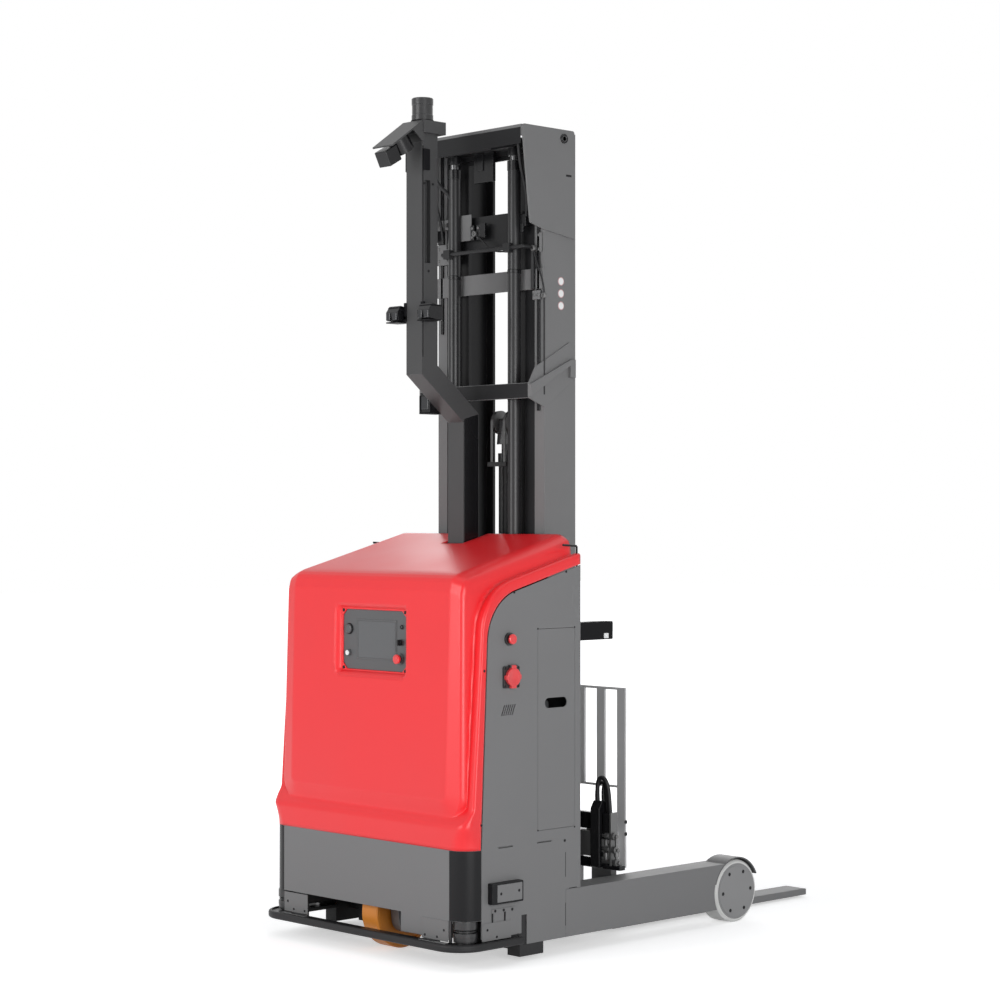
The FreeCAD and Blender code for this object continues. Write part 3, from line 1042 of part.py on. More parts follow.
def make_hoses():
    """Hydraulic pipe clamped across the lift cylinders and its branch down to the mast tie."""
    front, height = "(lift_y - lift_radius - seat - pipe_radius)", "(mast_top - pipe_drop)"
    side, drop_y = "(lift_x + pipe_reach)", "(outer_front - tie_plate - seat - pipe_radius)"
    pipe = rod("pipe_across", "x", (front, height), "pipe_radius", ("-lift_x - pipe_clamp", side))
    branch = rod("pipe_back", "y", (side, height), "pipe_radius", (front, drop_y))
    down = rod("pipe_down", "z", (side, drop_y), "pipe_radius", (f"{height} - pipe_fall", height))
    elbows = []
    for name, y in (("pipe_near_elbow", front), ("pipe_far_elbow", drop_y)):
        elbow = doc.addObject("Part::Sphere", name)
        elbow.setExpression("Radius", bound("pipe_radius"))
        place(elbow, x=side, y=y, z=height)
        elbows.append(elbow)
    clamps = [block(f"pipe_clamp_{word}", (f"{middle} - pipe_clamp / 2", f"{middle} + pipe_clamp / 2"),
                    (f"{front} - pipe_radius - 4", f"{front} + pipe_radius"),
                    (f"{height} - pipe_clamp / 2", f"{height} + pipe_clamp / 2"))
              for word, middle in (("left", "-lift_x"), ("right", "lift_x"))]
    node(fuse("pipe_run", pipe, branch, down, *elbows, *clamps), "mast_cables")


def make_free_lift():
    """Free-lift cylinder, its crosshead with chain sheaves, and the two lift chains."""
    length = f"(free_barrel_top - {FREE_BASE})"
    barrel = turned("free_barrel", "z",
                    [("0", "0"), ("0", "free_radius"), (length, "free_radius"), (length, "free_rod + running"),
                     (f"{length} - 40", "free_rod + running"), (f"{length} - 40", "free_bore"),
                     ("20", "free_bore"), ("20", "0")], x="0", y=MAST_MIDDLE, z=FREE_BASE)
    anchor = block("chain_anchor", both("sheave_x + 20"), (f"{MAST_MIDDLE} - 62", f"{MAST_MIDDLE} - 20"),
                   ("free_barrel_top - 60", "free_barrel_top - 40"))
    bore = rod("anchor_bore", "z", ("0", MAST_MIDDLE), "free_bore",
               ("free_barrel_top - 61", "free_barrel_top - 39"))
    node(fuse("free_lift_cylinder", barrel, cut("anchor_plate", anchor, bore)), "free_lift_cylinder")
    rod_length = f"(head_z - {FREE_BASE} - 24)"
    piston = turned("free_piston", "z",
                    [("0", "0"), ("0", "free_bore - running"), ("30", "free_bore - running"),
                     ("30", "free_rod"), (f"{rod_length} + 1", "free_rod"), (f"{rod_length} + 1", "0")],
                    x="0", y=MAST_MIDDLE, z=f"{FREE_BASE} + 24")
    head = prism("head_block", "YZ",
                 [(f"{MAST_MIDDLE} - 32", "head_z"), (f"{MAST_MIDDLE} + 32", "head_z"),
                  (f"{MAST_MIDDLE} + 20", "sheave_z + 18", "12"), (f"{MAST_MIDDLE} - 20", "sheave_z + 18", "12")],
                 both("sheave_x - sheave_width / 2 - seat"))
    axle = rod("sheave_axle", "x", (MAST_MIDDLE, "sheave_z"), "13",
               both("sheave_x + sheave_width / 2 + 8"))
    node(fuse("free_lift_head", piston, head, axle), "free_lift_head")
    inner = "sheave_x - sheave_width / 2"
    sheave = turned("sheave", "x",
                    [("0", "13 + running"), ("0", "sheave_radius + 6"), ("2.5", "sheave_radius + 6"),
                     ("2.5", "sheave_radius"), ("sheave_width - 2.5", "sheave_radius"),
                     ("sheave_width - 2.5", "sheave_radius + 6"), ("sheave_width", "sheave_radius + 6"),
                     ("sheave_width", "13 + running")],
                    x=inner, y=MAST_MIDDLE, z="sheave_z")
    node(pair("chain_sheaves", sheave), "chain_sheaves")
    wide = ("sheave_x - chain_width / 2", "sheave_x + chain_width / 2")
    bend = cut("chain_bend_ring",
               rod("chain_bend_out", "x", (MAST_MIDDLE, "sheave_z"), "sheave_radius + seat + chain", wide),
               rod("chain_bend_in", "x", (MAST_MIDDLE, "sheave_z"), "sheave_radius + seat",
                   ("sheave_x - 20", "sheave_x + 20")),
               block("chain_bend_low", ("sheave_x - 20", "sheave_x + 20"),
                     (f"{MAST_MIDDLE} - 90", f"{MAST_MIDDLE} + 90"), ("sheave_z - 90", "sheave_z")))
    rear = block("chain_rear", wide, (f"{MAST_MIDDLE} - sheave_radius - seat - chain",
                                      f"{MAST_MIDDLE} - sheave_radius - seat"),
                 ("free_barrel_top - 40", "sheave_z"))
    ahead = block("chain_ahead", wide, (CHAIN_FRONT, f"{CHAIN_FRONT} + chain"), ("carriage_top", "sheave_z"))
    node(pair("lift_chains", fuse("lift_chain", bend, rear, ahead)), "lift_chains")


def make_fork_carriage():
    """Fork carriage in the inner stage, side shifter, tilting fork frame and forks."""
    back = "carriage_half - carriage_plate"
    plate = prism("carriage_side", "YZ",
                  [("inner_front + inner_flange + 8", "face_base", "20"), ("carriage_front + 1", "face_base"),
                   ("carriage_front + 1", "carriage_top"),
                   ("inner_front + inner_flange + 8", "carriage_top", "20")], (back, "carriage_half"))
    stubs = []
    for side, z in (("low", "carriage_roller_low"), ("high", "carriage_roller_high")):
        stubs += roller_stub(f"carriage_{side}", "carriage_half", "inner", z)
    face = block("carriage_face", both("face_half"), ("carriage_front", "carriage_front + face_plate"),
                 ("face_base", "face_top"))
    window = block("face_window", both("110"), ("carriage_front - 1", "carriage_front + face_plate + 1"),
                   ("face_base + 60", "face_top - 60"))
    anchor = block("carriage_anchor", both("carriage_half - 1"), (f"{CHAIN_FRONT} - 8", "carriage_front + 1"),
                   ("carriage_top - 20", "carriage_top"))
    arm = block("camera_arm", ("face_half - 60", "face_half - 60 + camera_width"),
                ("carriage_front - 12.5", "carriage_front"), ("face_top - 60", "camera_z + camera_height"))
    node(fuse("fork_carriage", *with_twins([plate] + stubs), cut("face_cut", face, window), anchor, arm),
         "fork_carriage")
    mast_rollers("carriage_rollers", "carriage_half", "inner", "carriage_roller_high")
    camera_x = ("face_half - 60", "face_half - 60 + camera_width")
    housing = prism("camera_housing", "YZ",
                    [("carriage_front", "camera_z"), ("camera_y", "camera_z", "5"),
                     ("camera_y", "camera_z + camera_height", "5"),
                     ("carriage_front", "camera_z + camera_height")], camera_x)
    node(housing, "camera_box")

    slide = "carriage_front + face_plate + seat"
    outer = f"{slide} + shift_plate"
    top_lip = [block("shift_top_lip", both("shift_half"), ("carriage_front + 5", outer),
                     ("face_top + seat", "face_top + 16")),
               block("shift_low_lip", both("shift_half"), ("carriage_front + 5", outer),
                     ("face_base - 16", "face_base - seat"))]
    posts = with_twins([block("shift_post", ("shift_half - 90", "shift_half"), (slide, outer),
                              ("face_base - 16", "face_top + 16"))])
    rails = [block("shift_low_rail", both("shift_half"), (slide, outer), ("face_base - 16", "face_base + 60")),
             block("shift_top_rail", both("shift_half"), (slide, outer), ("face_top - 50", "face_top + 16"))]
    ears = with_twins([
        prism("pivot_ear", "YZ",
              [(f"{outer} - 1", "pivot_z - 30"), ("pivot_y + 26", "pivot_z - 24", "20"),
               ("pivot_y + 26", "pivot_z + 24", "20"), (f"{outer} - 1", "pivot_z + 30")],
              ("shift_half - 100", "shift_half - 72")),
        rod("pivot_pin", "x", ("pivot_y", "pivot_z"), "pivot_radius", ("shift_half - 73", "shift_half - 36"))])
    tilt_body = with_twins([rod("tilt_ram", "z", ("60", f"{outer} + 18"), "20", ("face_base + 40", "face_top - 30"))])
    node(fuse("side_shift_frame", *top_lip, *posts, *rails, *ears, *tilt_body), "side_shift_frame")

    bar_y = ("fork_bar_y", "fork_bar_y + fork_bar")
    upright = cut("fork_upright",
                  block("fork_upright_plate", ("shift_half - 69", "shift_half - 40"),
                        ("pivot_y - 18", "fork_bar_y + 1"), ("fork_low_z", "fork_high_z + fork_bar_height")),
                  rod("fork_pivot_bore", "x", ("pivot_y", "pivot_z"), "pivot_radius + running",
                      ("shift_half - 80", "shift_half - 30")))
    frame = with_twins([upright])
    frame += [block(f"fork_bar_{side}", both("fork_bar_half"), bar_y, (z, f"{z} + fork_bar_height"))
              for side, z in (("low", "fork_low_z"), ("high", "fork_high_z"))]
    post = ("rest_half - rest_bar", "rest_half")
    rest = ("rest_y", "rest_y + rest")
    guard = with_twins([
        block("rest_post", post, rest, ("rest_base", "rest_top")),
        block("rest_side", ("fork_bar_half - 14", "fork_bar_half - 6"), ("fork_bar_y + fork_bar - 1", "rest_y + 1"),
              ("rest_base", "fork_high_z + fork_bar_height"))])
    guard += [block("rest_top_bar", both("rest_half"), rest, ("rest_top - 10", "rest_top")),
              block("rest_low_bar", both("rest_half"), rest, ("rest_low_z", "rest_low_z + 10"))]
    for k in range(1, int(SIZES["rest_bars"]) - 1):
        middle = f"(-rest_half + rest_bar / 2 + {k} * (2 * rest_half - rest_bar) / (rest_bars - 1))"
        guard.append(block(f"rest_bar_{k}", (f"{middle} - rest_bar / 2", f"{middle} + rest_bar / 2"), rest,
                           ("rest_low_z", "rest_top")))
    node(fuse("fork_frame", *frame, *guard), "fork_frame")

    heel = "fork_bar_y + fork_bar + seat"
    top = "fork_base + fork_thick"
    blade = prism("fork_blade", "YZ",
                  [(heel, "fork_base", "14"), ("fork_tip_y", "fork_base"), ("fork_tip_y", "fork_base + fork_tip_thick", "6"),
                   (f"{heel} + 300", top), (f"{heel} + fork_thick", top, "10"),
                   (f"{heel} + fork_thick - 4", "fork_high_z + fork_bar_height + 14"),
                   ("fork_bar_y - 10", "fork_high_z + fork_bar_height + 14"),
                   ("fork_bar_y - 10", "fork_high_z + fork_bar_height - 8"),
                   ("fork_bar_y - seat", "fork_high_z + fork_bar_height - 8"),
                   ("fork_bar_y - seat", "fork_high_z + fork_bar_height + seat"),
                   (heel, "fork_high_z + fork_bar_height + seat")],
                  ("fork_outer - fork_width", "fork_outer"))
    node(pair("forks", blade), "forks")


def make_post():
    """Cranked sensor post with its head box and hood, and the sensors that it carries."""
    front, back = "post_y", "post_y + post_depth"
    foot = "roof_beam_z + roof_beam"
    post = prism("post_tube", "YZ",
                 [(front, foot), (front, "post_bend_z"), ("post_top_y", "post_upper_z"),
                  ("post_top_y", "post_top"), ("post_top_y + post_depth", "post_top"),
                  ("post_top_y + post_depth", "post_upper_z + 40"), (back, "post_bend_z + 38"),
                  (back, foot)], both("post_half"))
    slot = block("post_slot", ("post_half - 26", "post_half + 1"), ("post_top_y + 18", "post_top_y + 52"),
                 ("post_top - 565", "post_top - 203"))
    plate = block("post_foot", both("post_half + 40"), ("post_y - 15", "rear_wall_y"),
                  (foot, f"{foot} + 10"))
    box_y = ("head_box_y", "head_box_y + head_box_depth")
    box = block("head_box_body", both("head_box_half"), box_y, ("post_top", "post_top + head_box"))
    lid_z = "post_top + head_box"
    hood = prism("hood", "YZ",
                 [("head_box_y + 12", lid_z), ("head_box_y", lid_z),
                  ("head_box_y - hood_reach", f"{lid_z} - hood_drop"),
                  ("head_box_y - hood_reach + 4", f"{lid_z} - hood_drop - 6"),
                  ("head_box_y + 1", f"{lid_z} - 8"), ("head_box_y + 12", f"{lid_z} - 8")],
                 both("head_box_half - 4"))
    cheek = prism("hood_cheek", "YZ",
                  [("head_box_y + 1", f"{lid_z} - 4"), ("head_box_y - 60", f"{lid_z} - 48"),
                   ("head_box_y + 1", "post_top - 40"), ("head_box_y + 6", "post_top - 40"),
                   ("head_box_y + 6", f"{lid_z} - 4")], ("head_box_half - 10", "head_box_half - 4"))
    stay = block("hood_stay", both("head_box_half - 4"), ("head_box_y + 1", "post_top_y + 1"),
                 ("post_top - 40", "post_top + 1"))
    node(fuse("sensor_post", cut("post_slotted", post, slot), plate, box, hood, stay,
              *with_twins([cheek])), "sensor_post")

    lidar = turned("nav_lidar", "z",
                   [("0", "0"), ("0", "lidar_radius"), ("30", "lidar_radius"), ("32", "lidar_radius - 2"),
                    ("74", "lidar_radius - 2"), ("76", "lidar_radius"), ("lidar_height - 3", "lidar_radius"),
                    ("lidar_height", "lidar_radius - 3"), ("lidar_height", "0")],
                   x="0", y="lidar_y", z=lid_z)
    node(lidar, "nav_lidar")

    tilted = doc.addObject("Part::Cylinder", "tilted_lidar")
    tilted.setExpression("Radius", bound("scan_radius"))
    tilted.setExpression("Height", bound("scan_length"))
    tilted.Placement = Placement(Vector(), Rotation(Vector(1, 0, 0), 180 + SIZES["hood_angle"]))
    middle = "(head_box_y - hood_reach * 0.56)"
    place(tilted, x="0", y=f"{middle} + 4", z=f"{lid_z} - hood_drop * 0.56 - 7.3")
    upper_z = "(post_top - 800)"
    sensors = [tilted]
    for name, side in (("left", "-"), ("right", "+")):
        near, far = "post_half", "post_half + 14"
        stem_x = (f"{side}({near})", f"{side}({far})") if side == "+" else (f"-({far})", f"-({near})")
        body_x = (f"{side}({far})", f"{side}({far} + 76)") if side == "+" else (f"-({far} + 76)", f"-({far})")
        stem = block(f"{name}_sensor_bracket", stem_x, ("post_top_y + 4", "post_top_y + 70"),
                     (f"{upper_z}", f"{upper_z} + 52"))
        body = prism(f"{name}_sensor_body", "YZ",
                     [("post_top_y - 34", f"{upper_z} - 12"), ("post_top_y + 44", f"{upper_z} - 22"),
                      ("post_top_y + 44", f"{upper_z} + 40"), ("post_top_y - 20", f"{upper_z} + 52"),
                      ("post_top_y - 40", f"{upper_z} + 24")], body_x)
        sensors.append(fuse(f"{name}_sensor", stem, body))
    sensors.append(block("crank_sensor", ("-(post_half + 62)", "-post_half"), ("post_y - 110", "post_y - 20"),
                         ("post_bend_z + 42", "post_bend_z + 130")))
    group = doc.addObject("Part::Compound", "post_sensors")
    group.Links = sensors
    node(group, "post_sensors")



def export_nodes():
    """Stop at any failed object, then write each sub-part to its own STEP file."""
    doc.recompute()
    faults = []
    for item in doc.Objects:
        if "Invalid" in item.State or "Error" in item.State:
            faults.append(f"{item.Name}: {item.getStatusString()}")
        elif hasattr(item, "Shape") and item.TypeId.startswith("Part::"):
            if item.Shape.isNull() or not item.Shape.isValid():
                faults.append(f"{item.Name}: empty or invalid shape")
    if faults:
        raise RuntimeError("\n".join(faults))
    os.makedirs("parts", exist_ok=True)
    for solid in nodes:
        solid.Shape.exportStep(f"parts/{solid.Label}.step")


fill_sheet()
make_cover()
make_skirt()
make_bumper()
make_panels()
make_fittings()
make_operator_panel()
make_chassis()
make_cabinet_contents()
make_drive()
make_legs()
make_load_wheels()
make_reach()
make_mast()
make_hoses()
make_free_lift()
make_fork_carriage()
make_post()
export_nodes()
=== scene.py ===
"""Dressed model of a driverless reach truck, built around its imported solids."""

import json
import logging
import math
from dataclasses import dataclass, field
from enum import Enum
from typing import Any, ClassVar, Iterable, Sequence

import bmesh
import bpy
import numpy
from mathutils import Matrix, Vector

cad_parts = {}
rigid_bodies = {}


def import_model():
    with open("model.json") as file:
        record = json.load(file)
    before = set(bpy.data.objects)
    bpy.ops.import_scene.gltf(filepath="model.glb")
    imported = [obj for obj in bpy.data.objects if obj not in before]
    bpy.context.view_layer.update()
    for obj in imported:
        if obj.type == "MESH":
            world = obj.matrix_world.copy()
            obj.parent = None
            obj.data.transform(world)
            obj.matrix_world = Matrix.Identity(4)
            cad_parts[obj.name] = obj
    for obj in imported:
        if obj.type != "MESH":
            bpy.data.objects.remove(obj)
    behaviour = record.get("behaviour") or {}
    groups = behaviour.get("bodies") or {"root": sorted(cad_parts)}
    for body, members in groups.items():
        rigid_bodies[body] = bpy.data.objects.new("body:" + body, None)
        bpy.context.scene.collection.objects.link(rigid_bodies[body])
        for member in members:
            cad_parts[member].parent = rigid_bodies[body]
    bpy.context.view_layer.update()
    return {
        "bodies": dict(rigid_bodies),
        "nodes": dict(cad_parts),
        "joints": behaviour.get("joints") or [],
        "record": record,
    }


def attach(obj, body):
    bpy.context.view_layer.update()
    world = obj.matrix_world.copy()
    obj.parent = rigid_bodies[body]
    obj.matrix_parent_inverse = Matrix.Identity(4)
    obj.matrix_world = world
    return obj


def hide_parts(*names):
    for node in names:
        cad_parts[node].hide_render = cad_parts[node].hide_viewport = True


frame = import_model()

LOG = logging.getLogger("reach_truck")
MM = 0.001
Point = Sequence[float]
Span = tuple[float, float]
Grid = numpy.ndarray


class Body(Enum):
    """Moving bodies that dressed pieces ride on."""

    CHASSIS = "chassis"
    CAP = "socket_cap"
    RIGHT_WHEEL = "right_load_wheel"
    LEFT_WHEEL = "left_load_wheel"
    MAST = "mast_base"
    MID_MAST = "mid_mast"
    INNER_MAST = "inner_mast"
    CARRIAGE = "fork_carriage"
    SHIFTER = "side_shift"
    FORKS = "fork_frame"


class Axis(Enum):
    """Axes that turned and extruded shapes are built along."""

    X = 0
    Y = 1
    Z = 2


def mirrored(side: int, first: float, last: float) -> Span:
    """Return a span on one side of the middle plane, low end first.

    Args:
        side: 1 for the right side and -1 for the left.
        first: one end of the span on the right side.
        last: its other end.

    Returns:
        The span's low and high end.
    """
    low, high = sorted([side * first, side * last])
    return low, high


class Wiring:
    """Adds nodes to one tree, with their settings and what feeds them."""

    def __init__(self, tree: bpy.types.NodeTree) -> None:
        """Keep the tree that the nodes go into."""
        self.tree = tree

    def add(self, kind: str, feeds: dict[str | int, Any] | None = None, **settings: Any) -> bpy.types.Node:
        """Add one node.

        Args:
            kind: type of the node.
            feeds: values or sockets, by input name or number.
            settings: properties of the node itself.

        Returns:
            The new node.
        """
        node = self.tree.nodes.new(kind)
        for key, value in settings.items():
            setattr(node, key, value)
        self.feed(node, feeds or {})
        return node

    def feed(self, node: bpy.types.Node, feeds: dict[str | int, Any]) -> None:
        """Give a node's inputs their values or links.

        Args:
            node: node to feed.
            feeds: values or sockets, by input name or number.
        """
        for key, value in feeds.items():
            if isinstance(value, bpy.types.NodeSocket):
                self.tree.links.new(value, node.inputs[key])
            else:
                node.inputs[key].default_value = value


class ToneGroup:
    """Shader group: slow colour drift, fine grain and a bump height for one finish."""

    NAME = "surface_tone"
    INPUTS = {"Drift Scale": 3.0, "Grain Scale": 400.0, "Grain Depth": 0.1, "Edge Radius": 0.002}
    OUTPUTS = {"Drift": "Float", "Grain": "Float", "Edge": "Float", "Normal": "Vector"}
    GRAIN_HEIGHT = 0.0004

    def tree(self) -> bpy.types.NodeTree:
        """Build the group once.

        Returns:
            The node tree with its named inputs and outputs.
        """
        if self.NAME in bpy.data.node_groups:
            return bpy.data.node_groups[self.NAME]
        tree = bpy.data.node_groups.new(self.NAME, "ShaderNodeTree")
        wire = Wiring(tree)
        for name, value in self.INPUTS.items():
            tree.interface.new_socket(name, in_out="INPUT", socket_type="NodeSocketFloat").default_value = value
        for name, kind in self.OUTPUTS.items():
            tree.interface.new_socket(name, in_out="OUTPUT", socket_type=f"NodeSocket{kind}")
        given = wire.add("NodeGroupInput").outputs
        spot = wire.add("ShaderNodeTexCoord").outputs["Object"]
        drift, grain = (wire.add("ShaderNodeTexNoise", {"Vector": spot, "Scale": given[scale], "Detail": detail})
                        for scale, detail in (("Drift Scale", 1.5), ("Grain Scale", 3.0)))
        soft = wire.add("ShaderNodeBevel", {"Radius": given["Edge Radius"]}, samples=5).outputs["Normal"]
        flat = wire.add("ShaderNodeNewGeometry").outputs["Normal"]
        turn = wire.add("ShaderNodeVectorMath", {0: soft, 1: flat}, operation="DOT_PRODUCT")
        edge = wire.add("ShaderNodeMapRange", {"Value": turn.outputs["Value"], "From Min": 0.99, "From Max": 0.8,
                                               "To Min": 0.0, "To Max": 1.0})
        bump = wire.add("ShaderNodeBump", {"Distance": self.GRAIN_HEIGHT, "Strength": given["Grain Depth"],
                                           "Height": grain.outputs["Fac"], "Normal": soft})
        wire.add("NodeGroupOutput", {"Drift": drift.outputs["Fac"], "Grain": grain.outputs["Fac"],
                                     "Edge": edge.outputs["Result"], "Normal": bump.outputs["Normal"]})
        return tree


@dataclass(frozen=True)
class Finish:
    """One paint, plastic, rubber or metal finish."""

    name: str
    slot: str
    colour: tuple[float, float, float]
    roughness: float = 0.45
    metallic: float = 0.0
    coat: float = 0.0
    drift_scale: float = 3.0
    drift: float = 0.08
    grain_scale: float = 500.0
    grain_depth: float = 0.08
    edge_radius: float = 0.002
    edge_tone: float = 0.15
    shine: float = 0.5

    WORN_TO: ClassVar[float] = 0.6
    SHEEN_DRIFT: ClassVar[float] = 0.07

    def material(self) -> bpy.types.Material:
        """Build or fetch the procedural material.

        Returns:
            The material for this finish.
        """
        name = f"{self.name}_finish"
        if name in bpy.data.materials:
            return bpy.data.materials[name]
        material = bpy.data.materials.new(name)
        material.use_nodes = True
        wire = Wiring(material.node_tree)
        tone = wire.add("ShaderNodeGroup", node_tree=ToneGroup().tree())
        wire.feed(tone, {"Drift Scale": self.drift_scale, "Grain Scale": self.grain_scale,
                         "Grain Depth": self.grain_depth, "Edge Radius": self.edge_radius})
        low = [channel * (1 - self.drift) for channel in self.colour]
        high = [min(1.0, channel * (1 + self.drift)) for channel in self.colour]
        worn = [channel + (self.WORN_TO - channel) * self.edge_tone for channel in self.colour]
        shade = wire.add("ShaderNodeMix", data_type="RGBA")
        wire.feed(shade, {"A": (*low, 1), "B": (*high, 1), "Factor": tone.outputs["Drift"]})
        rub = wire.add("ShaderNodeMath", {0: tone.outputs["Edge"], 1: tone.outputs["Grain"]}, operation="MULTIPLY")
        wear = wire.add("ShaderNodeMix", data_type="RGBA")
        wire.feed(wear, {"A": shade.outputs["Result"], "B": (*worn, 1), "Factor": rub.outputs["Value"]})
        gloss = wire.add("ShaderNodeMapRange", {"Value": tone.outputs["Drift"],
                                                "To Min": max(0.02, self.roughness - self.SHEEN_DRIFT),
                                                "To Max": min(1.0, self.roughness + self.SHEEN_DRIFT)})
        wire.feed(material.node_tree.nodes["Principled BSDF"],
                  {"Metallic": self.metallic, "Specular IOR Level": self.shine, "Coat Weight": self.coat,
                   "Coat Roughness": 0.15, "Base Color": wear.outputs["Result"],
                   "Roughness": gloss.outputs["Result"], "Normal": tone.outputs["Normal"]})
        return material


RED = Finish("moulded_red", "body_red", (0.78, 0.014, 0.02), 0.36, coat=0.05, drift=0.02, grain_scale=900,
             grain_depth=0.0, edge_radius=0.004, edge_tone=0.02)
GREY = Finish("powder_grey", "skirt_grey", (0.165, 0.165, 0.167), 0.5, drift=0.04, grain_scale=1400,
              grain_depth=0.1, edge_radius=0.0015, edge_tone=0.12, shine=0.3)
FRAME = Finish("frame_black", "frame_black", (0.03, 0.03, 0.031), 0.5, drift=0.06, grain_scale=1400, shine=0.15)
MAST = Finish("mast_grey", "mast_black", (0.165, 0.165, 0.166), 0.48, drift=0.06, grain_scale=900,
              edge_tone=0.1, shine=0.25)
INNER = Finish("rail_black", "mast_black", (0.013, 0.013, 0.014), 0.35, drift=0.2, grain_scale=700,
               edge_tone=0.12, shine=0.22)
POST = Finish("post_grey", "mast_black", (0.05, 0.05, 0.051), 0.42, drift=0.08, grain_scale=900, edge_tone=0.1,
              shine=0.3)
# Near-black for thin sheets on the crossbars' front faces: painted shade that makes those faces darker than the bars'
# sides.
SHADE_BLACK = Finish("crossbar_painted_shade", "mast_black", (0.016, 0.016, 0.017), 0.4, drift=0.1, edge_tone=0.1, shine=0.15)
# Backrest grey, far lighter than the fork grey: painted light, brightened for the backrest bars that face away from
# the lamps.
LIT_REST = Finish("rest_painted_light", "fork_steel", (0.55, 0.55, 0.553), 0.5, drift=0.05, edge_tone=0.1, shine=0.3)
BUMPER = Finish("bumper_black", "bumper_black", (0.012, 0.012, 0.013), 0.4, grain_depth=0.08, shine=0.3)
RUBBER = Finish("bumper_rubber", "rubber_black", (0.009, 0.009, 0.01), 0.5, grain_depth=0.15, edge_tone=0.05,
                shine=0.3)
TYRE = Finish("pale_urethane", "wheel_tyre", (0.62, 0.62, 0.61), 0.5, drift=0.05, grain_depth=0.1)
AMBER = Finish("amber_urethane", "drive_tyre", (0.58, 0.2, 0.02), 0.42, drift=0.12, grain_depth=0.08)
HUB = Finish("hub_grey", "wheel_hub", (0.24, 0.24, 0.242), 0.45, grain_depth=0.1, edge_tone=0.08, shine=0.3)
FENDER = Finish("fender_grey", "fender_grey", (0.075, 0.075, 0.077), 0.45, grain_depth=0.1)
CHROME = Finish("rod_chrome", "rod_chrome", (0.12, 0.12, 0.122), 0.22, metallic=0.7, drift=0.04, edge_tone=0.05)
STEEL = Finish("worn_steel", "roller_steel", (0.14, 0.14, 0.14), 0.4, metallic=0.6, drift=0.12, edge_tone=0.1)
CHAIN = Finish("oiled_chain", "chain_steel", (0.12, 0.12, 0.12), 0.35, metallic=0.8, drift=0.2)
CYLINDER = Finish("cylinder_black", "cylinder_black", (0.02, 0.02, 0.021), 0.28, drift=0.08, edge_tone=0.05,
                  shine=0.3)
GLOSS = Finish("sensor_black", "sensor_black", (0.006, 0.006, 0.007), 0.25, drift=0.05, grain_depth=0.02,
               edge_tone=0.02, shine=0.3)
LENS = Finish("sensor_window", "sensor_black", (0.01, 0.011, 0.014), 0.06, drift=0.02, grain_depth=0.0,
              edge_tone=0.0)
LIDAR = Finish("lidar_black", "lidar_black", (0.02, 0.02, 0.021), 0.28, grain_depth=0.02)
SCANNER = Finish("scanner_black", "scanner_black", (0.018, 0.018, 0.019), 0.3, grain_depth=0.04)
CAMERA = Finish("camera_black", "camera_black", (0.006, 0.006, 0.007), 0.5, grain_depth=0.05, edge_tone=0.02,
                shine=0.08)
PANEL = Finish("panel_grey", "panel_grey", (0.07, 0.072, 0.075), 0.42, grain_depth=0.12, edge_radius=0.001)
SCREEN = Finish("screen_glass", "panel_grey", (0.085, 0.088, 0.092), 0.14, drift=0.02, grain_depth=0.0,
                edge_radius=0.0005, edge_tone=0.0)
STOP_RED = Finish("stop_red", "estop_red", (0.72, 0.03, 0.035), 0.3, coat=0.3, drift=0.04, grain_depth=0.02)
COLLAR = Finish("collar_black", "estop_collar", (0.02, 0.02, 0.021), 0.4, grain_depth=0.05)
WHITE = Finish("button_white", "button_white", (0.8, 0.81, 0.81), 0.3, drift=0.02, grain_depth=0.02)
KNOB = Finish("knob_black", "knob_black", (0.006, 0.006, 0.007), 0.4, edge_tone=0.03, shine=0.2)
SOCKET = Finish("socket_black", "socket_plastic", (0.018, 0.018, 0.019), 0.45)
CAP = Finish("cap_red", "cap_red", (0.68, 0.05, 0.055), 0.42, drift=0.05, grain_depth=0.05)
CONTACT = Finish("contact_black", "contact_black", (0.008, 0.008, 0.009), 0.45, grain_depth=0.05, shine=0.15)
BATTERY = Finish("battery_grey", "battery_grey", (0.2, 0.21, 0.22), 0.5)
PUMP = Finish("pump_grey", "pump_grey", (0.25, 0.26, 0.27), 0.45)
MOTOR = Finish("motor_black", "motor_black", (0.05, 0.05, 0.053), 0.45)
ALLOY = Finish("heat_sink_alloy", "controller_alloy", (0.5, 0.51, 0.52), 0.4, metallic=0.9)
GEAR = Finish("gear_iron", "gear_steel", (0.16, 0.16, 0.165), 0.4, metallic=0.7, drift=0.15)
CORNER = Finish("corner_gloss", "skirt_grey", (0.01, 0.01, 0.011), 0.3, drift=0.03, grain_depth=0.02, shine=0.15)
# Near-black for slots and holes drawn as thin slabs and discs: painted shade of their insides.
SHADOW = Finish("slot_painted_shade", "frame_black", (0.004, 0.004, 0.004), 0.8, drift=0.02, grain_depth=0.0,
                edge_tone=0.0)
ROSE = Finish("disc_rose", "button_white", (0.55, 0.32, 0.33), 0.4, drift=0.02, grain_depth=0.0)

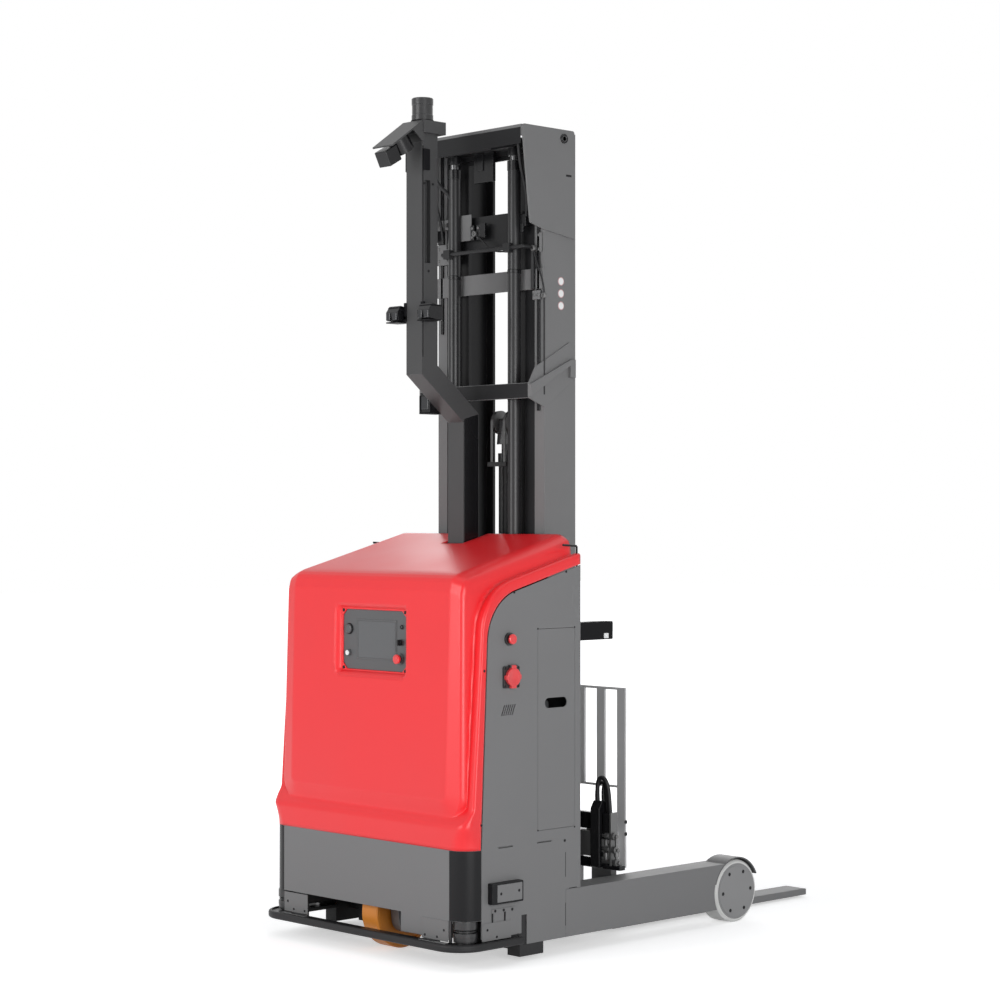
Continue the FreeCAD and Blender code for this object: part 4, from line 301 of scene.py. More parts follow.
NODE_FINISH = {
    "front_cover": RED, "right_side_panel": GREY, "left_side_panel": GREY, "service_door": GREY,
    "front_skirt": GREY, "bumper_plate": BUMPER, "bumper_edge": RUBBER, "corner_scanners": SCANNER,
    "estop_collars": COLLAR, "right_estop": STOP_RED, "left_estop": STOP_RED, "charging_socket": SOCKET,
    "socket_cap": CAP, "contact_box": CONTACT, "control_panel": PANEL, "panel_estop": STOP_RED,
    "start_button": WHITE, "mode_switch": KNOB, "chassis_frame": FRAME, "battery": BATTERY,
    "hydraulic_unit": PUMP, "drive_controller": ALLOY, "drive_gearbox": GEAR, "traction_motor": MOTOR,
    "drive_wheel": AMBER, "steer_pinion": GEAR, "steer_motor": MOTOR, "right_leg": GREY, "left_leg": GREY,
    "wheel_fenders": FENDER, "right_load_hub": HUB, "left_load_hub": HUB, "right_load_tyre": TYRE,
    "left_load_tyre": TYRE, "reach_carriage": INNER, "front_reach_rollers": STEEL,
    "rear_reach_rollers": STEEL, "reach_cylinder": CYLINDER, "reach_rod": CHROME, "outer_mast": MAST,
    "lift_cylinders": CYLINDER, "lift_rods": CHROME, "mid_mast": INNER, "mid_rollers": STEEL,
    "inner_mast": INNER, "inner_rollers": STEEL, "free_lift_cylinder": CYLINDER, "free_lift_head": CHROME,
    "chain_sheaves": STEEL, "lift_chains": CHAIN, "fork_carriage": INNER, "carriage_rollers": STEEL,
    "camera_box": CAMERA, "side_shift_frame": INNER, "fork_frame": LIT_REST, "forks": GREY,
    "sensor_post": POST, "nav_lidar": LIDAR, "post_sensors": GLOSS, "mast_cables": RUBBER,
}


class Shop:
    """Mesh tools that every sub-assembly shares."""

    skirt_to_middle = 1.2185

    def at(self, x: float, y: float, z: float) -> Vector:
        """Turn millimetres from the skirt front into the part's own frame."""
        return Vector((x * MM, y * MM - self.skirt_to_middle, z * MM))

    def finish(self, name: str, mesh: bmesh.types.BMesh, look: Finish, body: Body,
               smooth: bool = False) -> bpy.types.Object:
        """Turn a working mesh into a dressed piece on its body.

        Args:
            name: piece name.
            mesh: working mesh in the part's frame, freed here.
            look: finish to apply.
            body: body that it rides on.
            smooth: whether faces are shaded smooth.

        Returns:
            The finished object.
        """
        bmesh.ops.recalc_face_normals(mesh, faces=mesh.faces)
        data = bpy.data.meshes.new(name)
        mesh.to_mesh(data)
        mesh.free()
        if smooth:
            data.shade_smooth()
        return self.dress(name, data, look, body)

    def dress(self, name: str, data: bpy.types.Mesh, look: Finish, body: Body) -> bpy.types.Object:
        """Give a mesh its object, finish and body.

        Args:
            name: piece name.
            data: mesh in the part's frame.
            look: finish to apply.
            body: body that it rides on.

        Returns:
            The finished object.
        """
        piece = bpy.data.objects.new(name, data)
        bpy.context.scene.collection.objects.link(piece)
        data.materials.clear()
        data.materials.append(look.material())
        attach(piece, body.value)
        LOG.info("%s rides on %s", name, body.value)
        return piece

    def slab(self, mesh: bmesh.types.BMesh, x: Span, y: Span, z: Span, bevel: float = 1.0) -> None:
        """Add a box with rounded edges.

        Args:
            mesh: working mesh.
            x: low and high face, in millimetres.
            y: low and high face, from the skirt front.
            z: low and high face.
            bevel: edge radius in millimetres.
        """
        low, high = self.at(x[0], y[0], z[0]), self.at(x[1], y[1], z[1])
        made = bmesh.ops.create_cube(mesh, size=1.0)["verts"]
        for vertex in made:
            vertex.co = Vector([low[k] + (vertex.co[k] + 0.5) * (high[k] - low[k]) for k in range(3)])
        edges = list({edge for vertex in made for edge in vertex.link_edges})
        bmesh.ops.bevel(mesh, geom=edges, offset=bevel * MM, segments=2, affect="EDGES", profile=0.5)

    def turned(self, mesh: bmesh.types.BMesh, axis: Axis, centre: Vector,
               profile: Iterable[tuple[float, float]], steps: int = 40) -> None:
        """Add a closed turned shape.

        Args:
            mesh: working mesh.
            axis: axis that it is turned about.
            centre: origin of the profile in the part's frame.
            profile: pairs of place along the axis and radius, in millimetres.
            steps: sides round the axis.
        """
        rings = []
        others = [(axis.value + 1) % 3, (axis.value + 2) % 3]
        for along, radius in profile:
            ring = []
            count = 1 if radius < 1e-6 else steps
            for k in range(count):
                angle = 2 * math.pi * k / steps
                spot = centre.copy()
                spot[axis.value] += along * MM
                spot[others[0]] += radius * MM * math.cos(angle)
                spot[others[1]] += radius * MM * math.sin(angle)
                ring.append(mesh.verts.new(spot))
            rings.append(ring)
        for first, second in zip(rings, rings[1:]):
            for k in range(steps):
                corners = [first[k % len(first)], first[(k + 1) % len(first)],
                           second[(k + 1) % len(second)], second[k % len(second)]]
                corners = list(dict.fromkeys(corners))
                if len(corners) > 2:
                    mesh.faces.new(corners)
        for ring in (rings[0], rings[-1]):
            if len(ring) > 2:
                mesh.faces.new(ring)

    def prism(self, mesh: bmesh.types.BMesh, axis: Axis, outline: Sequence[tuple[float, float]],
              span: Span, bevel: float = 0.0) -> None:
        """Add an extruded outline.

        Args:
            mesh: working mesh.
            axis: direction of the extrusion.
            outline: corners in the two other axes, in millimetres.
            span: low and high end along the axis, in millimetres.
            bevel: edge radius in millimetres.
        """
        ends = []
        for along in span:
            ring = []
            for first, second in outline:
                place = [first, second]
                place.insert(axis.value, along)
                ring.append(mesh.verts.new(self.at(*place)))
            ends.append(ring)
        faces = [mesh.faces.new(ends[0]), mesh.faces.new(list(reversed(ends[1])))]
        count = len(outline)
        for k in range(count):
            faces.append(mesh.faces.new((ends[0][k], ends[1][k], ends[1][(k + 1) % count],
                                         ends[0][(k + 1) % count])))
        if bevel:
            edges = list({edge for face in faces for edge in face.edges})
            bmesh.ops.bevel(mesh, geom=edges, offset=bevel * MM, segments=2, affect="EDGES", profile=0.5)

    def tube(self, name: str, points: Sequence[Point], radius: float, look: Finish, body: Body,
             smooth: bool = True) -> bpy.types.Object:
        """Make a round bar, hose or cable along points.

        Args:
            name: piece name.
            points: places in millimetres from the skirt front.
            radius: radius in millimetres.
            look: finish to apply.
            body: body that it rides on.
            smooth: whether the line is a smooth curve.

        Returns:
            The finished object.
        """
        line = bpy.data.curves.new(name, "CURVE")
        line.dimensions = "3D"
        line.bevel_depth = radius * MM
        line.bevel_resolution = 3
        line.use_fill_caps = True
        spline = line.splines.new("NURBS" if smooth else "POLY")
        spline.points.add(len(points) - 1)
        for control, place in zip(spline.points, points):
            control.co = (*self.at(*place), 1)
        if smooth:
            spline.order_u = 3
            spline.use_endpoint_u = True
            spline.resolution_u = 8
        holder = bpy.data.objects.new(name + "_line", line)
        bpy.context.scene.collection.objects.link(holder)
        bpy.context.view_layer.update()
        data = bpy.data.meshes.new_from_object(holder.evaluated_get(
            bpy.context.evaluated_depsgraph_get()))
        bpy.data.objects.remove(holder)
        data.shade_smooth()
        return self.dress(name, data, look, body)


class FastenerTree:
    """Geometry Nodes tree that sets one screw on each point of a guide mesh."""

    NAME = "screw_row"
    INPUTS = {"Geometry": "Geometry", "Radius": "Float", "Height": "Float", "Sides": "Int", "Material": "Material"}
    WASHER_SIDES = 20
    WASHER_SHARES = {"Radius": 1.35, "Height": 0.4}

    def tree(self) -> bpy.types.NodeTree:
        """Build the tree once.

        Returns:
            The node tree with inputs for radius, height, number of sides and material.
        """
        if self.NAME in bpy.data.node_groups:
            return bpy.data.node_groups[self.NAME]
        tree = bpy.data.node_groups.new(self.NAME, "GeometryNodeTree")
        wire = Wiring(tree)
        for name, kind in self.INPUTS.items():
            tree.interface.new_socket(name, in_out="INPUT", socket_type=f"NodeSocket{kind}")
        tree.interface.new_socket("Geometry", in_out="OUTPUT", socket_type="NodeSocketGeometry")
        given = wire.add("NodeGroupInput").outputs
        head = wire.add("GeometryNodeMeshCylinder", {"Vertices": given["Sides"], "Radius": given["Radius"],
                                                     "Depth": given["Height"]})
        wide, thin = (wire.add("ShaderNodeMath", {0: given[size], 1: share}, operation="MULTIPLY").outputs[0]
                      for size, share in self.WASHER_SHARES.items())
        washer = wire.add("GeometryNodeMeshCylinder", {"Vertices": self.WASHER_SIDES, "Radius": wide, "Depth": thin})
        both = wire.add("GeometryNodeJoinGeometry", {"Geometry": head.outputs["Mesh"]})
        wire.feed(both, {"Geometry": washer.outputs["Mesh"]})
        facing = wire.add("GeometryNodeInputNamedAttribute", data_type="FLOAT_VECTOR")
        wire.feed(facing, {"Name": "facing"})
        aim = wire.add("FunctionNodeAlignRotationToVector", {"Vector": facing.outputs["Attribute"]}, axis="Z")
        spread = wire.add("GeometryNodeInstanceOnPoints",
                          {"Points": given["Geometry"], "Instance": both.outputs["Geometry"],
                           "Rotation": aim.outputs["Rotation"]})
        real = wire.add("GeometryNodeRealizeInstances", {"Geometry": spread.outputs["Instances"]})
        paint = wire.add("GeometryNodeSetMaterial", {"Geometry": real.outputs["Geometry"],
                                                     "Material": given["Material"]})
        wire.add("NodeGroupOutput", {"Geometry": paint.outputs["Geometry"]})
        return tree


@dataclass
class ScrewSet:
    """Screws of one size that ride on one body."""

    name: str
    body: Body
    look: Finish
    radius: float
    height: float
    sides: int = 6
    places: list[tuple[Point, Point]] = field(default_factory=list)

    def add(self, facing: Point, *places: Point) -> "ScrewSet":
        """Add screws that face one way.

        Args:
            facing: direction that their heads look.
            places: seats in millimetres from the skirt front.

        Returns:
            This set.
        """
        self.places += [(place, facing) for place in places]
        return self

    def build(self, shop: Shop) -> bpy.types.Object:
        """Make all the screws as one mesh.

        Args:
            shop: shared mesh tools.

        Returns:
            The finished object.
        """
        guide = bpy.data.meshes.new(self.name + "_guide")
        guide.from_pydata([shop.at(*place) for place, _ in self.places], [], [])
        facing = guide.attributes.new("facing", "FLOAT_VECTOR", "POINT")
        for item, (_, way) in zip(facing.data, self.places):
            item.vector = way
        holder = bpy.data.objects.new(self.name + "_guide", guide)
        bpy.context.scene.collection.objects.link(holder)
        modifier = holder.modifiers.new("screws", "NODES")
        modifier.node_group = FastenerTree().tree()
        values = {"Radius": self.radius * MM, "Height": self.height * MM * 2, "Sides": self.sides,
                  "Material": self.look.material()}
        for item in modifier.node_group.interface.items_tree:
            if item.in_out == "INPUT" and item.name in values:
                modifier[item.identifier] = values[item.name]
        bpy.context.view_layer.update()
        data = bpy.data.meshes.new_from_object(
            holder.evaluated_get(bpy.context.evaluated_depsgraph_get()))
        bpy.data.objects.remove(holder)
        return shop.dress(self.name, data, self.look, self.body)


@dataclass
class Studio:
    """Camera, pale floor and soft lamps."""

    eye: tuple[float, float, float] = (7.595, -7.7155, 1.8702)
    heading: tuple[float, float] = (-0.7206, 0.6934)
    lens: float = 83.88
    rise: float = 0.015
    sensor: float = 36.0
    sky: float = 0.36
    floor_half: float = 40.0
    floor_glow: float = 0.5
    glow_from: float = 1.6
    glow_full: float = 4.5

    def camera(self) -> None:
        """Set the camera at the reference angle."""
        data = bpy.data.cameras.new("camera")
        data.lens = self.lens
        data.sensor_width = self.sensor
        data.shift_y = self.rise
        data.clip_end = 100.0
        camera = bpy.data.objects.new("camera", data)
        camera.location = self.eye
        look = Vector((*self.heading, 0.0))
        camera.rotation_euler = look.to_track_quat("-Z", "Y").to_euler()
        bpy.context.scene.collection.objects.link(camera)
        bpy.context.scene.camera = camera

    def lamp(self, name: str, place: Point, aim: Point, size: float, power: float) -> None:
        """Add one soft lamp.

        Args:
            name: lamp name.
            place: position in metres.
            aim: point that it faces.
            size: side of the square lamp in metres.
            power: power in watts.
        """
        data = bpy.data.lights.new(name, "AREA")
        data.size = size
        data.energy = power
        lamp = bpy.data.objects.new(name, data)
        lamp.location = place
        lamp.rotation_euler = (Vector(aim) - Vector(place)).to_track_quat("-Z", "Y").to_euler()
        bpy.context.scene.collection.objects.link(lamp)

    def white_rays(self, wire: Wiring) -> bpy.types.NodeSocket:
        """Sum the Light Path rays that see plain white.

        Args:
            wire: nodes of the world or the floor.

        Returns:
            The socket with the clamped sum.
        """
        rays = wire.add("ShaderNodeLightPath").outputs
        total = rays["Is Camera Ray"]
        for ray in ("Is Glossy Ray", "Is Transmission Ray"):
            total = wire.add("ShaderNodeMath", {0: total, 1: rays[ray]}, operation="ADD",
                             use_clamp=True).outputs["Value"]
        return total

    def world(self) -> None:
        """Light the scene softly and show white behind it."""
        world = bpy.data.worlds.new("studio")
        bpy.context.scene.world = world
        world.use_nodes = True
        world.node_tree.nodes.clear()
        wire = Wiring(world.node_tree)
        soft = wire.add("ShaderNodeBackground", {"Color": (0.95, 0.97, 1.0, 1), "Strength": self.sky})
        white = wire.add("ShaderNodeBackground", {"Color": (1, 1, 1, 1), "Strength": 1.0})
        mix = wire.add("ShaderNodeMixShader", {0: self.white_rays(wire), 1: soft.outputs[0], 2: white.outputs[0]})
        wire.add("ShaderNodeOutputWorld", {"Surface": mix.outputs[0]})

    def floor(self) -> None:
        """Lay a white floor that keeps the object's soft shadow."""
        mesh = bmesh.new()
        bmesh.ops.create_grid(mesh, x_segments=1, y_segments=1, size=self.floor_half)
        data = bpy.data.meshes.new("floor")
        mesh.to_mesh(data)
        mesh.free()
        floor = bpy.data.objects.new("floor", data)
        bpy.context.scene.collection.objects.link(floor)
        material = bpy.data.materials.new("studio_floor")
        material.use_nodes = True
        wire = Wiring(material.node_tree)
        spot = wire.add("ShaderNodeTexCoord").outputs["Object"]
        far = wire.add("ShaderNodeVectorMath", {0: spot}, operation="LENGTH")
        fade = wire.add("ShaderNodeMapRange", {"Value": far.outputs["Value"], "From Min": self.glow_from,
                                               "From Max": self.glow_full, "To Min": self.floor_glow, "To Max": 1.0})
        seen = wire.add("ShaderNodeMath", {0: self.white_rays(wire), 1: fade.outputs["Result"]},
                        operation="MULTIPLY")
        wire.feed(material.node_tree.nodes["Principled BSDF"],
                  {"Base Color": (0.9, 0.9, 0.9, 1), "Roughness": 0.7, "Specular IOR Level": 0.0,
                   "Emission Color": (1, 1, 1, 1), "Emission Strength": seen.outputs["Value"]})
        data.materials.append(material)

    def build(self) -> None:
        """Set the whole studio."""
        bpy.context.scene.view_settings.view_transform = "Standard"
        self.camera()
        self.world()
        self.floor()
        self.lamp("key", (-1.0, -8.0, 3.0), (0, -0.8, 1.0), 4.0, 250)
        self.lamp("fill", (7.6, -3.4, 1.8), (0, -0.2, 1.0), 4.0, 330)
        self.lamp("overhead", (0, 1.0, 8.5), (0, 0, 0), 6.0, 60)
        self.lamp("back", (-5.0, 6.0, 4.0), (0, 0, 1.6), 5.0, 120)


class SolidDressing:
    """Finishes for the solids that keep their own shape."""

    def build(self, nodes: dict[str, bpy.types.Object]) -> None:
        """Give each solid its finish.

        Args:
            nodes: solids by name.
        """
        for name, solid in nodes.items():
            material = NODE_FINISH[name].material()
            for slot in solid.material_slots:
                slot.material = material
            LOG.info("%s is %s", name, material.name)


class Assembly:
    """Sub-assembly with the shared mesh tools at hand."""

    shop = Shop()


@dataclass
class CoverSkin(Assembly):
    """Moulded front cover: lip band, raised tray with a bevelled face, roof and control recess."""

    half: float = 635.0
    back: float = 679.0
    base: float = 490.0
    tray_half: float = 588.0
    tray_taper: float = 16.0
    strip: float = 46.0
    tray_foot: float = 604.0
    corner: float = 112.0
    bevel: float = 84.0
    proud: float = 21.0
    recess: tuple[float, float] = (12.0, 1332.0)
    recess_half: tuple[float, float] = (234.0, 154.5)
    recess_round: float = 32.0
    recess_floor: float = 55.6
    notch: tuple[float, float] = (62.0, 527.0)
    wall: float = 4.0
    seam_corner: tuple[float, float] = (134.0, 1516.0)
    seam_arc: float = 224.0
    front_lean: float = math.atan2(44, 1026)
    roof_slope: float = math.atan2(145, 545)
    tray_rise: float = 950.0
    bevel_loss: float = 20.0
    corner_reach: float = 34.0
    crease: float = 5.0
    lip: float = 7.0
    lip_run: float = 10.0
    roof_start: float = 1600.0
    roof_blend: float = 60.0
    brow: tuple[float, float, float] = (490.0, 92.0, 46.0)
    gutter: tuple[float, float, float] = (560.0, 46.0, 18.0)
    gutter_round: float = 10.0
    band_slope: float = 60.0 / 72.0
    band_angle: float = 0.5
    edge_turn: tuple[float, float, float] = (90.0, 76.0, 150.0)
    face_lean: float = 25.2 / 916.0

    def seam(self) -> list[tuple[float, float]]:
        """Return the side edge of the cover as pairs of y and z."""
        points = [(90.0, self.base - 1)]
        first, last = math.pi - self.front_lean, math.pi / 2 + self.roof_slope
        middle = self.arc_middle()
        for k in range(17):
            turn = first + (last - first) * k / 16
            points.append((middle[0] + self.seam_arc * math.cos(turn), middle[1] + self.seam_arc * math.sin(turn)))
        return points + [(self.back, 1661.0), (self.back + 60, 1677.0)]

    def arc_middle(self) -> tuple[float, float]:
        """Find the middle of the shoulder arc.

        Returns:
            The y and z of the middle.
        """
        lean, slope, radius = self.front_lean, self.roof_slope, self.seam_arc
        ay, az = self.seam_corner[0] + radius * math.cos(lean), self.seam_corner[1] - radius * math.sin(lean)
        by, bz = self.seam_corner[0] + radius * math.sin(slope), self.seam_corner[1] - radius * math.cos(slope)
        along, run = (math.sin(lean), math.cos(lean)), (math.cos(slope), math.sin(slope))
        step = ((by - ay) * run[1] - (bz - az) * run[0]) / (along[0] * run[1] - along[1] * run[0])
        return ay + step * along[0], az + step * along[1]

    def tray(self) -> list[tuple[float, float]]:
        """Return the tray's middle line, with its brow and roof, as pairs of y and z."""
        return [(7.4, self.base), (8.0, self.tray_foot), (33.2, 1520.0), (34.2, 1553.0), (37.0, 1566.0),
                (44.0, 1592.0), (52.0, 1607.0), (66.0, 1619.5), (84.0, 1627.5), (104.0, 1633.8),
                (self.back, 1787.5), (self.back + 60, 1804.0)]

    def reach(self, line: Sequence[tuple[float, float]], angle: Grid) -> Grid:
        """Measure how far rays from the low back edge run to a line.

        Args:
            line: pairs of y and z.
            angle: angles above the forward direction.

        Returns:
            The distance along each ray.
        """
        points = [(math.atan2(z - self.base, self.back - y), y, z) for y, z in line]
        out = numpy.zeros_like(angle)
        for (first, y0, z0), (last, y1, z1) in zip(points, points[1:]):
            part = (angle >= first - 1e-9) & (angle <= last + 1e-9)
            c, s = numpy.cos(angle[part]), numpy.sin(angle[part])
            dy, dz = y1 - y0, z1 - z0
            out[part] = ((self.back - y0) * dz + (z0 - self.base) * dy) / (c * dz + s * dy)
        return out

    def soft_max(self, first: Grid, second: Grid, width: float) -> Grid:
        """Join two surfaces with a rounded inner corner.

        Args:
            first: distances of one surface.
            second: distances of the other.
            width: width of the rounding.

        Returns:
            The joined distances.
        """
        near = numpy.clip(width - numpy.abs(first - second), 0, None) / width
        return numpy.maximum(first, second) + near * near * width / 4

    def rows(self) -> Grid:
        """Return the ray angles, closer together on curved parts."""
        marks = [(0.0, 490.0, 8), (0.0, 600.0, 26), (9.0, 730.0, 56), (33.2, 1520.0, 26), (104.0, 1634.0, 40),
                 (self.back, 1787.5, 0)]
        angles = []
        for (y0, z0, steps), (y1, z1, _) in zip(marks, marks[1:]):
            for k in range(steps):
                y, z = y0 + (y1 - y0) * k / steps, z0 + (z1 - z0) * k / steps
                angles.append(math.atan2(z - self.base, self.back - y))
        return numpy.array(angles + [math.pi / 2])

    def columns(self) -> Grid:
        """Return places across the right half, where 1 is the tray's edge and 2 the side edge."""
        inner = [0.0, 0.035, 0.07, self.notch[0] / self.tray_half]
        inner += list(numpy.linspace(0.14, 0.84, 44)) + list(numpy.linspace(0.86, 0.985, 12))
        outer = [1.0 + k * 0.035 for k in range(12)] + list(numpy.linspace(1.45, 1.86, 9))
        return numpy.array(inner + outer + [1.9, 1.93, 1.955, 1.975, 1.99, 2.0, 2.25, 2.5, 2.75, 3.0])

    def surface(self) -> tuple[Grid, Grid, Grid]:
        """Lay out the outer surface as a grid.

        Returns:
            Grids of x, y and z in millimetres.
        """
        angle = self.rows()
        half = self.columns()
        place = numpy.concatenate([-half[:0:-1], half])
        tray, seam = self.reach(self.tray(), angle), self.reach(self.seam(), angle)
        height = self.base + tray * numpy.sin(angle)
        climb = numpy.clip((height - self.tray_foot) / self.tray_rise, 0, 1)
        wide = self.tray_half - self.tray_taper * climb
        slant = self.bevel - self.bevel_loss * climb
        sunk = numpy.clip(self.tray_foot + self.corner - height, 0, self.corner)
        edge = wide - (self.corner - numpy.sqrt(numpy.clip(self.corner ** 2 - sunk ** 2, 0, None)))
        edge = numpy.maximum(edge, wide - self.corner + self.corner_reach)
        size = numpy.abs(place)[None, :]
        x = numpy.where(size <= 1, size * edge[:, None],
                        edge[:, None] + (numpy.minimum(size, 2) - 1) * (self.half - edge[:, None]))
        rise = height[:, None] + 0 * x
        cx, cz = x - (wide[:, None] - self.corner), (self.tray_foot + self.corner) - rise
        outside = numpy.hypot(numpy.clip(cx, 0, None), numpy.clip(cz, 0, None))
        inside = self.corner - numpy.where((cx > 0) | (cz > 0), outside, numpy.maximum(cx, cz))
        bevel = slant[:, None]
        run = numpy.clip((bevel - inside + self.crease) / (2 * self.crease), 0, 1)
        drop = self.proud / bevel * numpy.where(inside > bevel - self.crease, self.crease * run * run, bevel - inside)
        steep = numpy.clip(self.lip - inside, 0, None)
        drop = drop + self.fall(steep, 0.35, 9)
        roof = numpy.clip((rise - self.roof_start) / self.roof_blend, 0, 1)
        start, width, depth = self.brow
        side = numpy.clip((x - start) / width, 0, 1)
        drop = drop * (1 - roof) + roof * (depth * side ** 2 + self.fall(steep, 0.3, 6))
        face = tray[:, None] - drop
        c, s = numpy.cos(angle)[:, None], numpy.sin(angle)[:, None]
        low = self.back / numpy.maximum(c, 0.02)
        high = (self.back + (self.tray_foot - 2 * self.lip - self.base) * self.band_slope) / (
            c + self.band_slope * s)
        band = numpy.where(angle[:, None] < self.band_angle, numpy.minimum(low, high), 0)
        start, width, depth = self.gutter
        groove = numpy.clip((x - start) / width, 0, 1)
        shoulder = seam[:, None] + self.strip - depth * (1 - groove * groove * (3 - 2 * groove))
        frame = self.soft_max(shoulder + 0 * x, band + 0 * x, self.gutter_round)
        widest, loss, height = self.edge_turn
        level = numpy.clip(seam * numpy.sin(angle) / height, 0, 1)[:, None]
        turn = widest - loss * level * level * (3 - 2 * level)
        into = numpy.clip(x - self.half + turn, 0, turn)
        frame = frame - (turn - numpy.sqrt(numpy.clip(turn * turn - into * into, 0, None)))
        reach = self.soft_max(frame, face, self.lip)
        strip = numpy.clip(size - 2, 0, 1)
        reach = numpy.where(size > 2, reach * (1 - strip) + seam[:, None] * strip, reach)
        return x * numpy.sign(place)[None, :], self.back - reach * c, self.base + reach * s

    def fall(self, steep: Grid, curve: float, slope: float) -> Grid:
        """Roll an edge over, first curved and then straight.

        Args:
            steep: distances past the start of the edge.
            curve: strength of the curved part.
            slope: steepness of the straight part.

        Returns:
            How far the surface drops.
        """
        straight = curve * self.lip_run ** 2 + (steep - self.lip_run) * slope
        return numpy.where(steep < self.lip_run, steep * steep * curve, straight)

    def snap(self, x: float, z: float) -> tuple[bool, float, float]:
        """Compare a place with the rounded outline of the recess.

        Args:
            x: place across.
            z: height.

        Returns:
            Whether it is inside, and the nearest place on the outline.
        """
        dx, dz = x - self.recess[0], z - self.recess[1]
        a, b = self.recess_half[0] - self.recess_round, self.recess_half[1] - self.recess_round
        qx, qz = abs(dx) - a, abs(dz) - b
        if qx > 0 and qz > 0:
            far = math.hypot(qx, qz)
            nx, nz = a + qx / far * self.recess_round, b + qz / far * self.recess_round
            inside = far < self.recess_round
        else:
            inside = qx < self.recess_round and qz < self.recess_round
            if qx - self.recess_round > qz - self.recess_round:
                nx, nz = self.recess_half[0], abs(dz)
            else:
                nx, nz = abs(dx), self.recess_half[1]
        return inside, self.recess[0] + math.copysign(nx, dx), self.recess[1] + math.copysign(nz, dz)

    def face_y(self, z: float) -> float:
        """Return the depth of the tray's face at a height."""
        return 8.0 + (z - self.tray_foot) * self.face_lean

    def ring(self, grow: float) -> list[tuple[float, float]]:
        """Return the recess outline grown by a margin, as pairs of x and z."""
        points = []
        radius = max(4.0, self.recess_round + grow)
        a, b = self.recess_half[0] + grow - radius, self.recess_half[1] + grow - radius
        for quarter, (sx, sz) in enumerate(((1, 1), (-1, 1), (-1, -1), (1, -1))):
            for k in range(9):
                turn = math.pi / 2 * (quarter + k / 8)
                points.append((self.recess[0] + sx * a + radius * math.cos(turn),
                               self.recess[1] + sz * b + radius * math.sin(turn)))
        return points

    def tub(self, mesh: bmesh.types.BMesh) -> None:
        """Add the recess walls and floor.

        Args:
            mesh: working mesh of the outer skin.
        """
        loops = []
        for grow, depth in ((1.5, 3.0), (0.8, 0.1), (-1.5, 0.5), (-6.0, 3.5), (-13.0, 10.0), (-19.0, 17.0),
                            (-24.0, None)):
            loops.append([mesh.verts.new(self.shop.at(x, self.recess_floor if depth is None
                                                 else self.face_y(z) + depth, z)) for x, z in self.ring(grow)])
        count = len(loops[0])
        for first, second in zip(loops, loops[1:]):
            for k in range(count):
                mesh.faces.new((first[k], first[(k + 1) % count], second[(k + 1) % count], second[k]))
        mesh.faces.new(list(loops[-1]))

    def build(self) -> None:
        """Make the cover and let it stand for its solid."""
        x, y, z = self.surface()
        mesh = bmesh.new()
        rows, columns = x.shape
        grid = [[None] * columns for _ in range(rows)]
        inside = numpy.zeros(x.shape, dtype=bool)
        for i in range(rows):
            for j in range(columns):
                within, _, _ = self.snap(x[i, j], z[i, j])
                inside[i, j] = within and y[i, j] < 60
        for i in range(rows):
            for j in range(columns):
                spot = (x[i, j], y[i, j], z[i, j])
                if inside[i, j] and not inside[max(i - 1, 0):i + 2, max(j - 1, 0):j + 2].all():
                    _, nx, nz = self.snap(x[i, j], z[i, j])
                    spot = (nx, self.face_y(nz), nz)
                grid[i][j] = mesh.verts.new(self.shop.at(*spot))
        for i in range(rows - 1):
            for j in range(columns - 1):
                if inside[i:i + 2, j:j + 2].all():
                    continue
                middle_y, middle_x = y[i:i + 2, j:j + 2].mean(), x[i:i + 2, j:j + 2].mean()
                if middle_y > self.notch[1] and abs(middle_x) < self.notch[0]:
                    continue
                mesh.faces.new((grid[i][j], grid[i][j + 1], grid[i + 1][j + 1], grid[i + 1][j]))
        bmesh.ops.delete(mesh, geom=[vertex for vertex in mesh.verts if not vertex.link_faces], context="VERTS")
        self.tub(mesh)
        for polygon in mesh.faces:
            polygon.smooth = True
        data = bpy.data.meshes.new("cover_shell")
        mesh.to_mesh(data)
        mesh.free()
        piece = self.shop.dress("cover_shell", data, RED, Body.CHASSIS)
        thick = piece.modifiers.new("wall", "SOLIDIFY")
        thick.thickness = self.wall * MM
        thick.offset = -1.0
        plain = bpy.data.meshes.new_from_object(piece.evaluated_get(bpy.context.evaluated_depsgraph_get()))
        piece.modifiers.clear()
        piece.data = plain
        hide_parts("front_cover")


